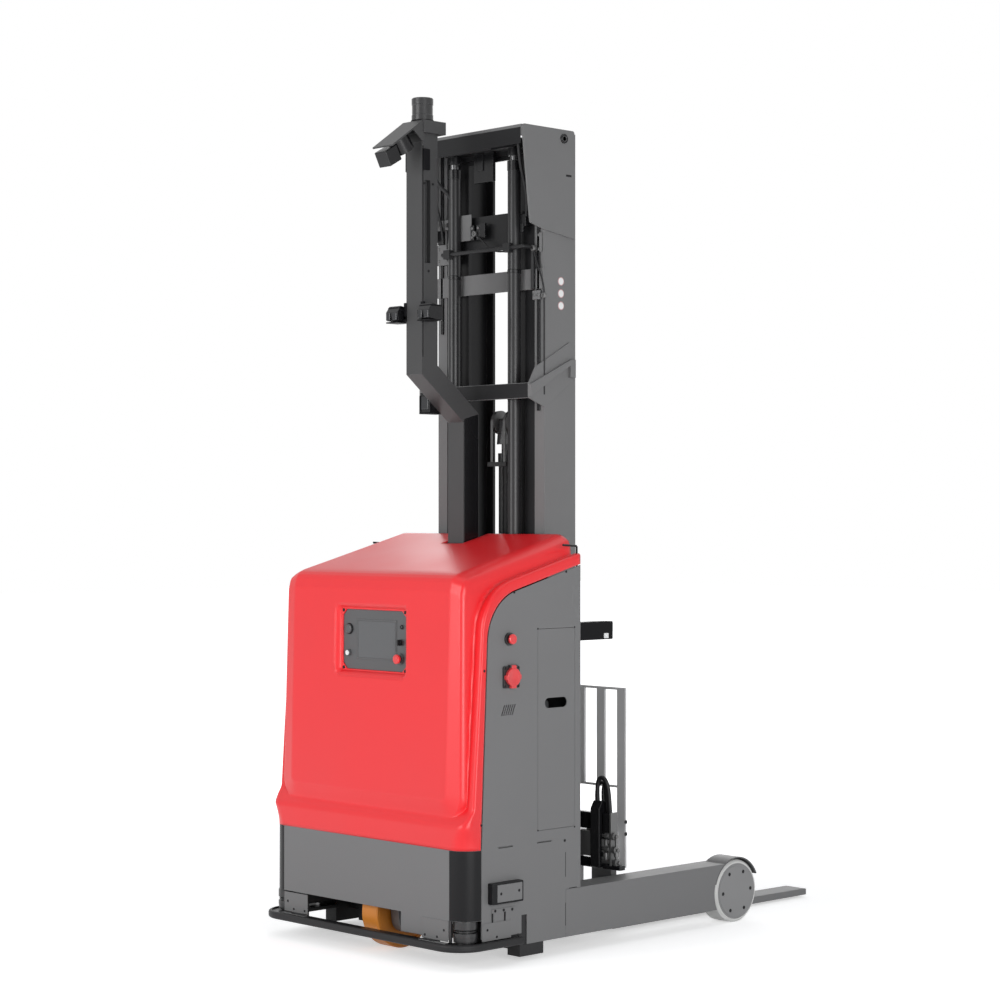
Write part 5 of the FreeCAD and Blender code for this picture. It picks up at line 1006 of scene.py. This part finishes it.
@dataclass
class OperatorPanel(Assembly):
    """Screen, screws and small fittings on the recessed control panel."""

    x: float = 14.0
    z: float = 1333.0
    half: tuple[float, float] = (205.0, 128.5)
    front: float = 52.0
    screen: tuple[float, float] = (28.0, 1335.0)
    buzzer: tuple[float, float] = (-153.0, 1377.0)
    port: tuple[float, float] = (192.0, 1395.0)

    def build(self) -> None:
        """Make the red mounting frame, the glass, the rings and the screws."""
        shop = self.shop
        a, b = self.half
        mesh = bmesh.new()
        for side in (-1, 1):
            x = sorted((self.x + side * (a + 1), self.x + side * (a + 11)))
            shop.slab(mesh, x, (self.front - 5, self.front + 3), (self.z - b - 11, self.z + b + 11), 2.0)
            z = sorted((self.z + side * (b + 1), self.z + side * (b + 11)))
            shop.slab(mesh, (self.x - a - 11, self.x + a + 11), (self.front - 5, self.front + 3), z, 2.0)
        for sx in (-1, 1):
            for sz in (-1, 1):
                corner = [(self.x + sx * (a + p), self.z + sz * (b + q)) for p, q in ((4, 4), (-27, 4), (4, -27))]
                shop.prism(mesh, Axis.Y, corner, (self.front - 4, self.front + 3), 1.0)
        shop.finish("panel_mounting_frame", mesh, RED, Body.CHASSIS)
        ScrewSet("panel_screws", Body.CHASSIS, KNOB, 5.5, 1.5, 16).add(
            (0, -1, 0), *[(self.x + p * (a - 4), self.front - 4.4, self.z + q * (b - 4)) for p in (-1, 1)
                          for q in (-1, 1)]).build(shop)
        mesh = bmesh.new()
        shop.slab(mesh, (self.screen[0] - 121, self.screen[0] + 121), (self.front - 2.4, self.front - 0.6),
                  (self.screen[1] - 78.5, self.screen[1] + 78.5), 0.8)
        shop.finish("touch_screen", mesh, SCREEN, Body.CHASSIS)
        mesh = bmesh.new()
        middle = shop.at(self.buzzer[0], self.front, self.buzzer[1])
        shop.turned(mesh, Axis.Y, middle, [(0, 24), (-4, 24), (-6, 22.5), (-6, 20.5), (-1, 20.2), (0, 20.2)], 48)
        middle = shop.at(self.port[0], self.front, self.port[1])
        shop.turned(mesh, Axis.Y, middle, [(-3.8, 0), (-3.8, 4.4), (-6.4, 5), (-6.4, 8), (-3.8, 9.4)], 32)
        shop.finish("panel_rings", mesh, KNOB, Body.CHASSIS, True)
        ScrewSet("panel_grips", Body.CHASSIS, STEEL, 2.4, 0.8, 6).add(
            (0, -1, 0), *[(self.screen[0] + p * 126, self.front - 2.2, self.screen[1] + q * 82) for p in (-1, 1)
                          for q in (-1, 1)]).build(shop)


@dataclass
class SideFittings(Assembly):
    """Fasteners, seams and small plates on the cabinet's sides."""

    face: float = 635.0
    socket: tuple[float, float] = (261.0, 1196.0)
    contact: tuple[float, float, float, float] = (160.0, 303.0, 270.0, 342.0)

    def seams(self) -> None:
        """Mark the dashed slots where the lower plate hooks into the frame, and the door's relief holes, with
        near-black slabs and discs: painted shade for their dark insides.
        """
        shop = self.shop
        mesh = bmesh.new()
        for side in (-1, 1):
            x = mirrored(side, self.face - 0.6, self.face + 0.25)
            for y0, y1, z in ((192, 274, 489), (416, 502, 489), (609, 657, 278)):
                shop.slab(mesh, x, (y0, y1), (z - 1.6, z + 1.6), 0.2)
            for z0, z1 in ((329, 434), (121, 219)):
                shop.slab(mesh, x, (586.4, 589.6), (z0, z1), 0.2)
        shop.finish("side_slots", mesh, SHADOW, Body.CHASSIS)
        mesh = bmesh.new()
        for side in (-1, 1):
            for y, z in ((422, 1391), (643, 1391), (422, 541), (643, 537)):
                middle = shop.at(side * self.face, y, z)
                shop.turned(mesh, Axis.X, middle, [(-0.5, 0.0), (-0.5, 4.2), (0.4, 4.2), (0.4, 0.0)], 16)
        shop.finish("door_relief_holes", mesh, SHADOW, Body.CHASSIS)

    def screws(self) -> None:
        """Set the screws of cover, socket and contact box."""
        shop = self.shop
        cover = ScrewSet("cover_screws", Body.CHASSIS, KNOB, 4.2, 1.2, 12)
        plate = ScrewSet("plate_screws", Body.CHASSIS, KNOB, 4.6, 1.4, 6)
        for side in (-1, 1):
            way = (side, 0, 0)
            cover.add(way, *[(side * (self.face + 0.2), y, z) for y, z in
                             ((592, 1629), (283, 1548), (111, 1227), (95, 593))])
            plate.add(way, (side * (self.face + 0.4), 583, 484))
        plate.add((1, 0, 0), *[(self.face + 8.4, self.socket[0] + p * 38, self.socket[1] + q * 38)
                               for p in (-1, 1) for q in (-1, 1)])
        plate.add((1, 0, 0), (663.5, 180, 305), (663.5, 284, 309))
        plate.add((1, 0, 0), (638.6, 170, 232), (638.6, 219, 231), (638.6, 268, 229))
        cover.build(shop)
        plate.build(shop)

    def plates(self) -> None:
        """Make the contact box face and the strips below it."""
        shop = self.shop
        y0, y1, z0, z1 = self.contact
        mesh = bmesh.new()
        shop.slab(mesh, (660.5, 663.4), (y0, y1), (z0, z1), 1.2)
        shop.slab(mesh, (635, 638), (152, 286), (222, 240), 0.8)
        shop.slab(mesh, (635, 636.6), (165, 222), (190, 222), 0.6)
        shop.slab(mesh, (635, 636.6), (229, 268), (186, 222), 0.6)
        shop.finish("contact_plates", mesh, GREY, Body.CHASSIS)
        mesh = bmesh.new()
        for y in (152, 224):
            shop.slab(mesh, (635, 640), (y, y + 5), (186, 224), 0.8)
        shop.finish("contact_brackets", mesh, KNOB, Body.CHASSIS)

    def hoop(self) -> None:
        """Bend the wire loops at the top of the cabinet's back corners."""
        shop = self.shop
        for side, word in ((1, "right"), (-1, "left")):
            shop.tube(f"{word}_wire_loop", [(side * 618, 590, 1742), (side * 618, 668, 1738), (side * 618, 673, 1733),
                                            (side * 618, 673, 1650)], 5.0, KNOB, Body.CHASSIS, False)

    def cap_detail(self) -> None:
        """Raise the ring and the grip on the socket's cap."""
        shop = self.shop
        mesh = bmesh.new()
        middle = shop.at(self.face + 22, *self.socket)
        shop.turned(mesh, Axis.X, middle, [(-3, 38.6), (0.2, 38.6), (1.8, 37), (1.8, 31), (0.6, 29.5), (0.6, 0)], 48)
        shop.finish("cap_rim", mesh, CAP, Body.CAP, True)

    def build(self) -> None:
        """Make all the side fittings."""
        self.seams()
        self.screws()
        self.plates()
        self.hoop()
        self.cap_detail()


@dataclass
class BumperCorner(Assembly):
    """Angle guards, scanner cowls and brackets round the low front corners."""

    face: float = 635.0
    plate: float = 2.6
    bend: tuple[float, float] = (542.0, 93.0)
    trim: tuple[float, float] = (93.6, 92.6)
    # Count, pitch and width of the black painted-shade flaps under the bulkhead.
    flaps: int = 8
    flap_pitch: float = 125.0
    flap_width: float = 123.0

    def build(self) -> None:
        """Make the guards on both corners."""
        shop = self.shop
        guard, cowl = bmesh.new(), bmesh.new()
        screws = ScrewSet("guard_screws", Body.CHASSIS, KNOB, 4.0, 1.2, 6)
        for side in (-1, 1):
            low, high = mirrored(side, 376, 536)
            shop.slab(guard, (low, high), (-self.plate, 0.2), (112, 198), 0.8)
            shop.slab(guard, (low, high), (-22, -0.4), (105, 108), 0.8)
            x = mirrored(side, self.face - 0.2, self.face + self.plate)
            shop.slab(guard, x, (97, 262), (112, 186), 0.8)
            x = mirrored(side, self.face + 0.4, self.face + 14)
            shop.slab(guard, x, (97, 320), (105, 108), 0.8)
            screws.add((0, -1, 0), (side * 512, -3.0, 158), (side * 470, -3.0, 126), (side * 395, -3.0, 126))
            screws.add((side, 0, 0), (side * 638, 126, 158), (side * 638, 180, 124), (side * 638, 302, 118))
            for z0, z1, radius in ((112, 126, 44), (130, 150, 51), (154, 160, 48), (164, 198, 51)):
                middle = shop.at(side * 575, 60, 0)
                shop.turned(cowl, Axis.Z, middle, [(z0, 0), (z0, radius - 2), (z0 + 2, radius), (z1 - 2, radius),
                                                   (z1, radius - 2), (z1, 0)], 48)
            for y0, y1 in ((2, 12), (108, 116)):
                x = mirrored(side, (536 if y0 == 2 else 600), (548 if y0 == 2 else 634))
                shop.slab(cowl, x, (y0, y1), (108, 199), 1.5)
        trim = bmesh.new()
        for side in (-1, 1):
            outer, inner = ([(side * (self.bend[0] + radius * math.sin(k * math.pi / 32)),
                              self.bend[1] - radius * math.cos(k * math.pi / 32)) for k in range(17)]
                            for radius in self.trim)
            shop.prism(trim, Axis.Z, outer + inner[::-1], (201, 489))
        shop.finish("skirt_corner_trims", trim, CORNER, Body.CHASSIS)
        shop.finish("corner_guards", guard, MAST, Body.CHASSIS)
        shop.finish("scanner_cowls", cowl, SCANNER, Body.CHASSIS)
        # Black flaps under the bulkhead: painted shade, a dark sheet that hides the lit floor seen under the truck,
        # where the floor lies in the truck's shadow.
        flap = bmesh.new()
        for k in range(self.flaps):
            low = (k - self.flaps / 2) * self.flap_pitch
            shop.slab(flap, (low, low + self.flap_width), (398, 404.9), (26, 118))
        shop.finish("underside_shade_flaps", flap, RUBBER, Body.CHASSIS)
        screws.build(shop)


@dataclass
class LoadWheels(Assembly):
    """Cover discs and screws of the load wheels."""

    middle: tuple[float, float] = (1711.0, 142.5)
    face: float = 632.0
    ring: float = 96.0
    screws: int = 6
    first_screw: float = 2.0

    def build(self) -> None:
        """Dress both wheels."""
        shop = self.shop
        for side, body, word in ((1, Body.RIGHT_WHEEL, "right"), (-1, Body.LEFT_WHEEL, "left")):
            mesh = bmesh.new()
            middle = shop.at(side * self.face, *self.middle)
            shop.turned(mesh, Axis.X, middle, [(side * p, r) for p, r in
                                               ((-1, 119), (0.8, 119), (2.2, 117), (2.2, 0))], 96)
            shop.finish(f"{word}_wheel_disc", mesh, HUB, body)
            shop_screws = ScrewSet(f"{word}_wheel_screws", body, KNOB, 6.2, 1.0, 18)
            for k in range(self.screws):
                turn = math.radians(360 / self.screws * k + self.first_screw)
                shop_screws.add((side, 0, 0), (side * (self.face + 2.6), self.middle[0] + self.ring * math.cos(turn),
                                               self.middle[1] + self.ring * math.sin(turn)))
            shop_screws.build(shop)


@dataclass
class SensorPost(Assembly):
    """Lenses, brackets and dark plates of painted shade on the cranked sensor post."""

    half: float = 50.0

    def build(self) -> None:
        """Dress the post."""
        shop = self.shop
        # Near-black plate over the whole right face of the lower post: painted shade that darkens that face. The thin
        # strip paints a dark line along the upper post's front edge, also painted shade.
        shade_cover = bmesh.new()
        shop.prism(shade_cover, Axis.X, [(541, 1622), (541, 2284), (545, 2296), (628, 2318), (629, 1622)],
                   (self.half - 0.5, self.half + 2.2), 0.6)
        shop.prism(shade_cover, Axis.X, [(294, 2560), (300, 2560), (300, 3480), (294, 3480)],
                   (self.half - 0.5, self.half + 1.2), 0.3)
        shop.finish("post_painted_shade_cover", shade_cover, GLOSS, Body.CHASSIS)
        parts, lens = bmesh.new(), bmesh.new()
        for side in (-1, 1):
            for x0, x1, y0, z0 in ((70, 96, 244, 2716), (112, 138, 244, 2716)):
                x = mirrored(side, x0, x1)
                shop.slab(lens, x, (y0 + 3, y0 + 14), (z0 + 8, z0 + 42), 3.0)
            x = mirrored(side, 46, 64)
            shop.slab(parts, x, (286, 390), (2726, 2742), 2.0)
            shop.slab(parts, x, (286, 300), (2716, 2800), 2.0)
            x = mirrored(side, 64, 141)
            shop.slab(parts, x, (262, 328), (2774, 2782), 2.0)
            shop.slab(parts, x, (250, 320), (2712, 2718), 2.0)
        shop.slab(parts, (-112, -50), (420, 524), (2318, 2326), 2.0)
        shop.slab(parts, (-116, -108), (424, 520), (2318, 2400), 2.0)
        for x, y, z in ((-56, 300, 3420), (56, 300, 3420)):
            shop.slab(parts, (x - 6, x + 6), (y - 6, y + 30), (z - 46, z + 46), 2.0)
        middle = shop.at(0, 340, 3590)
        shop.turned(parts, Axis.Z, middle, [(-1, 52), (6, 52), (8, 50.5), (8, 46)], 56)
        shop.finish("sensor_brackets", parts, CAMERA, Body.CHASSIS)
        hood = bmesh.new()
        corners = [(146 + 0.86 * a * 38 + 0.45 * b * 35, 3423 + 0.5 * a * 38 - 0.89 * b * 35)
                   for a, b in ((-1, -1), (1, -1), (1, 1), (-1, 1))]
        shop.prism(hood, Axis.X, corners, (-44, 30), 4.0)
        shop.finish("hood_sensor", hood, GLOSS, Body.CHASSIS)
        shop.slab(lens, (-104, -58), (424, 432), (2338, 2396), 3.0)
        shop.finish("sensor_windows", lens, LENS, Body.CHASSIS)
        ScrewSet("sensor_screws", Body.CHASSIS, KNOB, 4.0, 1.5, 6).add(
            (1, 0, 0), (52, 306, 3316), (52, 354, 3316), (52, 330, 2935), (64.5, 300, 2732), (64.5, 380, 2734)).add(
            (-1, 0, 0), (-64.5, 300, 2732), (-64.5, 380, 2734), (-52, 360, 3490)).build(shop)


@dataclass
class MastHead(Assembly):
    """Brackets, pipes, hoses, switches and plain discs on the fixed mast stage."""

    face: float = 345.0
    disc: float = 19.0
    rim: float = 3.5

    def plates(self) -> None:
        """Make the brackets between the rails, the switches and screws, and the painted-shade sheets on the
        crossbars.
        """
        shop = self.shop
        pale, dark = bmesh.new(), bmesh.new()
        for x0, x1, y0, y1, z0, z1 in ((-338, -258, 732, 748, 3176, 3222), (-338, -252, 732, 748, 3016, 3110),
                                       (-250, -206, 736, 746, 3016, 3232), (-204, -104, 729, 734, 3114, 3232),
                                       (300, 334, 742, 748, 3030, 3115), (284, 330, 736, 747, 2820, 2860)):
            shop.slab(pale, (x0, x1), (y0, y1), (z0, z1), 1.5)
        for x0, x1, y0, y1, z0, z1 in ((-262, -236, 722, 734, 3086, 3106), (-262, -240, 722, 734, 3186, 3206),
                                       (-236, -222, 700, 740, 3030, 3052), (-338, -300, 738, 748, 3112, 3174),
                                       (222, 262, 716, 746, 3146, 3200), (230, 250, 712, 724, 3120, 3160),
                                       (-322, -306, 742, 749, 2700, 3560), (306, 322, 742, 749, 2330, 3560),
                                       (-100, -78, 722, 736, 3112, 3180), (-62, -40, 722, 736, 3112, 3180),
                                       (-44, -8, 724, 736, 3120, 3186)):
            shop.slab(dark, (x0, x1), (y0, y1), (z0, z1), 1.5)
        shop.slab(dark, (-88, 42), (728, 745), (3368, 3517), 3.0)
        shop.slab(dark, (-60, -20), (722, 729), (3420, 3500), 3.0)
        shop.finish("mast_brackets", pale, MAST, Body.MAST)
        # Thin near-black sheets on the head crossbars' front faces: painted shade, making those faces darker than the
        # bars' sides.
        black = bmesh.new()
        shop.slab(black, (-343, 343), (604.9, 606.2), (3491, 3562), 0.3)
        shop.slab(black, (-343, 150), (607, 612), (3484, 3530), 0.5)
        shop.slab(black, (-343, 343), (649.0, 650.4), (2384, 2447), 0.3)
        shop.finish("crossbar_shade_sheets", black, SHADE_BLACK, Body.MAST)
        shop.finish("mast_switches", dark, GLOSS, Body.MAST)
        screws = ScrewSet("mast_screws", Body.MAST, STEEL, 5.0, 2.4, 6)
        screws.add((0, -1, 0), (-322, 731, 3199), (-274, 731, 3199), (-322, 731, 3090), (-322, 731, 3036),
                   (-270, 731, 3036), (-228, 735, 3210), (-228, 735, 3040), (-180, 728, 3216),
                   (317, 741, 3104), (317, 741, 3042), (296, 735, 2840), (318, 735, 2840),
                   (-89, 721, 3166), (-89, 721, 3126), (-51, 721, 3166), (-51, 721, 3126))
        screws.build(shop)

    def hoses(self) -> None:
        """Run the thin cables and hoses along the head."""
        shop = self.shop
        runs = (("switch_cable", [(-70, 718, 3140), (-20, 716, 3110), (40, 710, 3058), (120, 706, 3040),
                                  (200, 702, 3052), (262, 708, 3066), (300, 726, 3046)], 4.0),
                ("limit_cable", [(300, 728, 3040), (316, 732, 2980), (340, 732, 2930), (352, 738, 2880),
                                 (352, 744, 2840), (350, 744, 2400)], 4.0),
                ("left_loop", [(-282, 640, 3500), (-276, 650, 3420), (-240, 668, 3360), (-206, 684, 3330),
                               (-190, 700, 3270), (-188, 716, 3200), (-190, 724, 3130)], 9.0),
                ("left_feed", [(-300, 640, 3520), (-302, 660, 3400), (-296, 700, 3260), (-290, 722, 3180),
                               (-284, 726, 3110)], 7.0),
                ("right_feed", [(258, 726, 3190), (270, 720, 3260), (282, 690, 3340), (292, 650, 3420),
                                (296, 636, 3520)], 8.0))
        for name, points, radius in runs:
            shop.tube(name, points, radius, RUBBER, Body.MAST)
        mesh = bmesh.new()
        for x, y, z in ((300, 726, 3046), (350, 742, 2836), (-70, 720, 3140)):
            middle = shop.at(x, y, z)
            shop.turned(mesh, Axis.Y, middle, [(8, 0), (8, 13), (-6, 13), (-8, 11), (-8, 6), (-4, 6), (-4, 0)], 24)
        shop.finish("cable_glands", mesh, STEEL, Body.MAST)

    def discs(self) -> None:
        """Set the plain pale discs on both outer rails."""
        shop = self.shop
        pale, rim = bmesh.new(), bmesh.new()
        for side in (-1, 1):
            for z in (2905, 2851, 2797):
                middle = shop.at(side * self.face, 854, z)
                for mesh, radius, proud in ((pale, self.disc - self.rim, 0.7), (rim, self.disc, 0.5)):
                    shop.turned(mesh, Axis.X, middle, [(0, radius), (side * proud, radius), (side * proud, 0)])
        shop.finish("pale_discs", pale, WHITE, Body.MAST)
        shop.finish("disc_rims", rim, ROSE, Body.MAST)

    def bosses(self) -> None:
        """Turn the pin ends in the head plates and the slots below them."""
        shop = self.shop
        mesh = bmesh.new()
        for side in (-1, 1):
            middle = shop.at(side * (self.face + 8), 865, 3537)
            profile = ((-2, 0), (-2, 9), (3, 10), (5.4, 13), (5.4, 20), (4, 21.5), (0, 22))
            shop.turned(mesh, Axis.X, middle, [(side * along, radius) for along, radius in profile])
            # Thin black slab for the slot below each pin: painted shade of the slot's inside.
            x = mirrored(side, self.face + 8, self.face + 8.8)
            shop.slab(mesh, x, (878, 912), (3371, 3380), 0.4)
        shop.finish("head_pins", mesh, KNOB, Body.MAST)

    def build(self) -> None:
        """Dress the fixed stage."""
        self.plates()
        self.hoses()
        self.discs()
        self.bosses()


@dataclass
class LiftGear(Assembly):
    """Cylinder collars and rod heads on the lift cylinders, and collars on the free-lift cylinder."""

    lift: tuple[float, float] = (195.0, 711.0)
    free: tuple[float, float] = (0.0, 851.5)
    lift_bore: float = 29.0
    free_bore: float = 35.0
    lift_collars: tuple[Point, ...] = ((3396, 3440, 31), (2940, 2958, 30.5), (1760, 1778, 30.5), (2380, 2398, 30.5))
    free_collars: tuple[Point, ...] = ((2100, 2150, 38), (1500, 1512, 36.5), (900, 912, 36.5))

    def build(self) -> None:
        """Dress the cylinders and moving stages."""
        shop = self.shop
        collars, heads = bmesh.new(), bmesh.new()
        for side in (-1, 1):
            middle = shop.at(side * self.lift[0], self.lift[1], 0)
            for z0, z1, radius in self.lift_collars:
                shop.turned(collars, Axis.Z, middle, [(z0, self.lift_bore), (z0, radius - 1), (z0 + 1.5, radius),
                                                      (z1 - 1.5, radius), (z1, radius - 1), (z1, self.lift_bore)])
            shop.turned(heads, Axis.Z, middle, [(3462, 19), (3462, 26), (3466, 28), (3496, 28), (3499, 25),
                                                (3499, 19)])
        shop.finish("cylinder_collars", collars, GLOSS, Body.MAST)
        shop.finish("rod_heads", heads, KNOB, Body.MID_MAST)
        mesh = bmesh.new()
        middle = shop.at(*self.free, 0)
        for z0, z1, radius in self.free_collars:
            shop.turned(mesh, Axis.Z, middle, [(z0, self.free_bore), (z0, radius), (z1, radius),
                                               (z1, self.free_bore)], 48)
        shop.finish("free_lift_collars", mesh, GLOSS, Body.INNER_MAST)


class CarriageGear(Assembly):
    """Valve block, hoses, rams and guards carried behind the backrest."""

    def build(self) -> None:
        """Dress the fork carriage, side shifter and fork frame."""
        shop = self.shop
        dark, pale = bmesh.new(), bmesh.new()
        shop.prism(dark, Axis.X, [(985, 305), (1046, 305), (1048, 560), (1036, 596), (1006, 600), (985, 566)],
                   (398, 452), 4.0)
        shop.slab(dark, (300, 452), (1000, 1040), (470, 545), 5.0)
        shop.slab(dark, (300, 400), (1000, 1030), (300, 345), 4.0)
        shop.slab(dark, (452, 505), (1006, 1040), (430, 548), 5.0)
        shop.slab(dark, (452, 560), (1004, 1042), (300, 322), 4.0)
        shop.slab(pale, (330, 400), (988, 1000), (352, 462), 3.0)
        shop.slab(pale, (500, 512), (1000, 1046), (316, 552), 2.0)
        shop.finish("hose_carrier", dark, GLOSS, Body.SHIFTER)
        shop.finish("hose_carrier_plates", pale, STEEL, Body.SHIFTER)
        for k, (name, points) in enumerate((
                ("carriage_hose_high", [(418, 1014, 590), (414, 1012, 660), (430, 1012, 704), (462, 1016, 700),
                                        (480, 1022, 640), (484, 1024, 540)]),
                ("carriage_hose_mid", [(438, 1030, 590), (434, 1030, 640), (444, 1030, 676), (464, 1030, 664),
                                       (472, 1030, 610), (474, 1030, 540)]),
                ("carriage_hose_low", [(404, 1024, 580), (396, 1026, 622), (406, 1028, 668), (436, 1030, 684),
                                       (456, 1032, 640), (460, 1032, 540)]))):
            shop.tube(name, points, 10.0 - k, RUBBER, Body.SHIFTER)
        rams = bmesh.new()
        for z, span in ((334, (384, 556)), (388, (452, 548)), (448, (452, 540))):
            for low, high, radius in ((span[0], span[1], 9), (span[0] + 18, span[0] + 44, 15),
                                      (span[1] - 30, span[1] - 12, 17)):
                middle = shop.at(0, 1012, z)
                shop.turned(rams, Axis.X, middle, [(low, 0), (low, radius - 1), (low + 1, radius), (high - 1, radius),
                                                   (high, radius - 1), (high, 0)], 28)
        for x, z0, z1, radius in ((470, 340, 430, 8), (470, 352, 372, 14), (534, 322, 446, 7), (534, 360, 384, 12)):
            middle = shop.at(x, 1012, 0)
            shop.turned(rams, Axis.Z, middle, [(z0, 0), (z0, radius), (z1, radius), (z1, 0)], 24)
        shop.finish("shift_rams", rams, STEEL, Body.SHIFTER)
        ScrewSet("backrest_bolts", Body.FORKS, KNOB, 6.5, 2.0, 6).add(
            (1, 0, 0), (465.4, 1146, 441), (465.4, 1146, 495)).add(
            (0, -1, 0), *[(x, 1084.5, z) for x in (-398, 398, -230, 230, -60, 60) for z in (125, 425)]).add(
            (0, 1, 0), *[(x, 1150.4, z) for x in (-440, 440) for z in (420, 320)]).build(shop)
        mesh = bmesh.new()
        shop.slab(mesh, (329.6, 331), (1146, 1176), (1313, 1336), 0.5)
        shop.slab(mesh, (262, 288), (1202, 1205), (1316, 1338), 2.0)
        shop.finish("camera_tag", mesh, WHITE, Body.CARRIAGE)
        mesh = bmesh.new()
        shop.slab(mesh, (274, 326), (1203, 1205.4), (1336, 1386), 6.0)
        shop.finish("camera_window", mesh, LENS, Body.CARRIAGE)


def main() -> None:
    """Build the dressed truck and its studio."""
    logging.basicConfig(level=logging.INFO)
    Studio().build()
    SolidDressing().build(frame["nodes"])
    for assembly in (CoverSkin(), OperatorPanel(), SideFittings(), BumperCorner(), LoadWheels(), SensorPost(),
                     MastHead(), LiftGear(), CarriageGear()):
        assembly.build()
        LOG.info("%s is built", type(assembly).__name__)


if __name__ == "__main__":
    main()
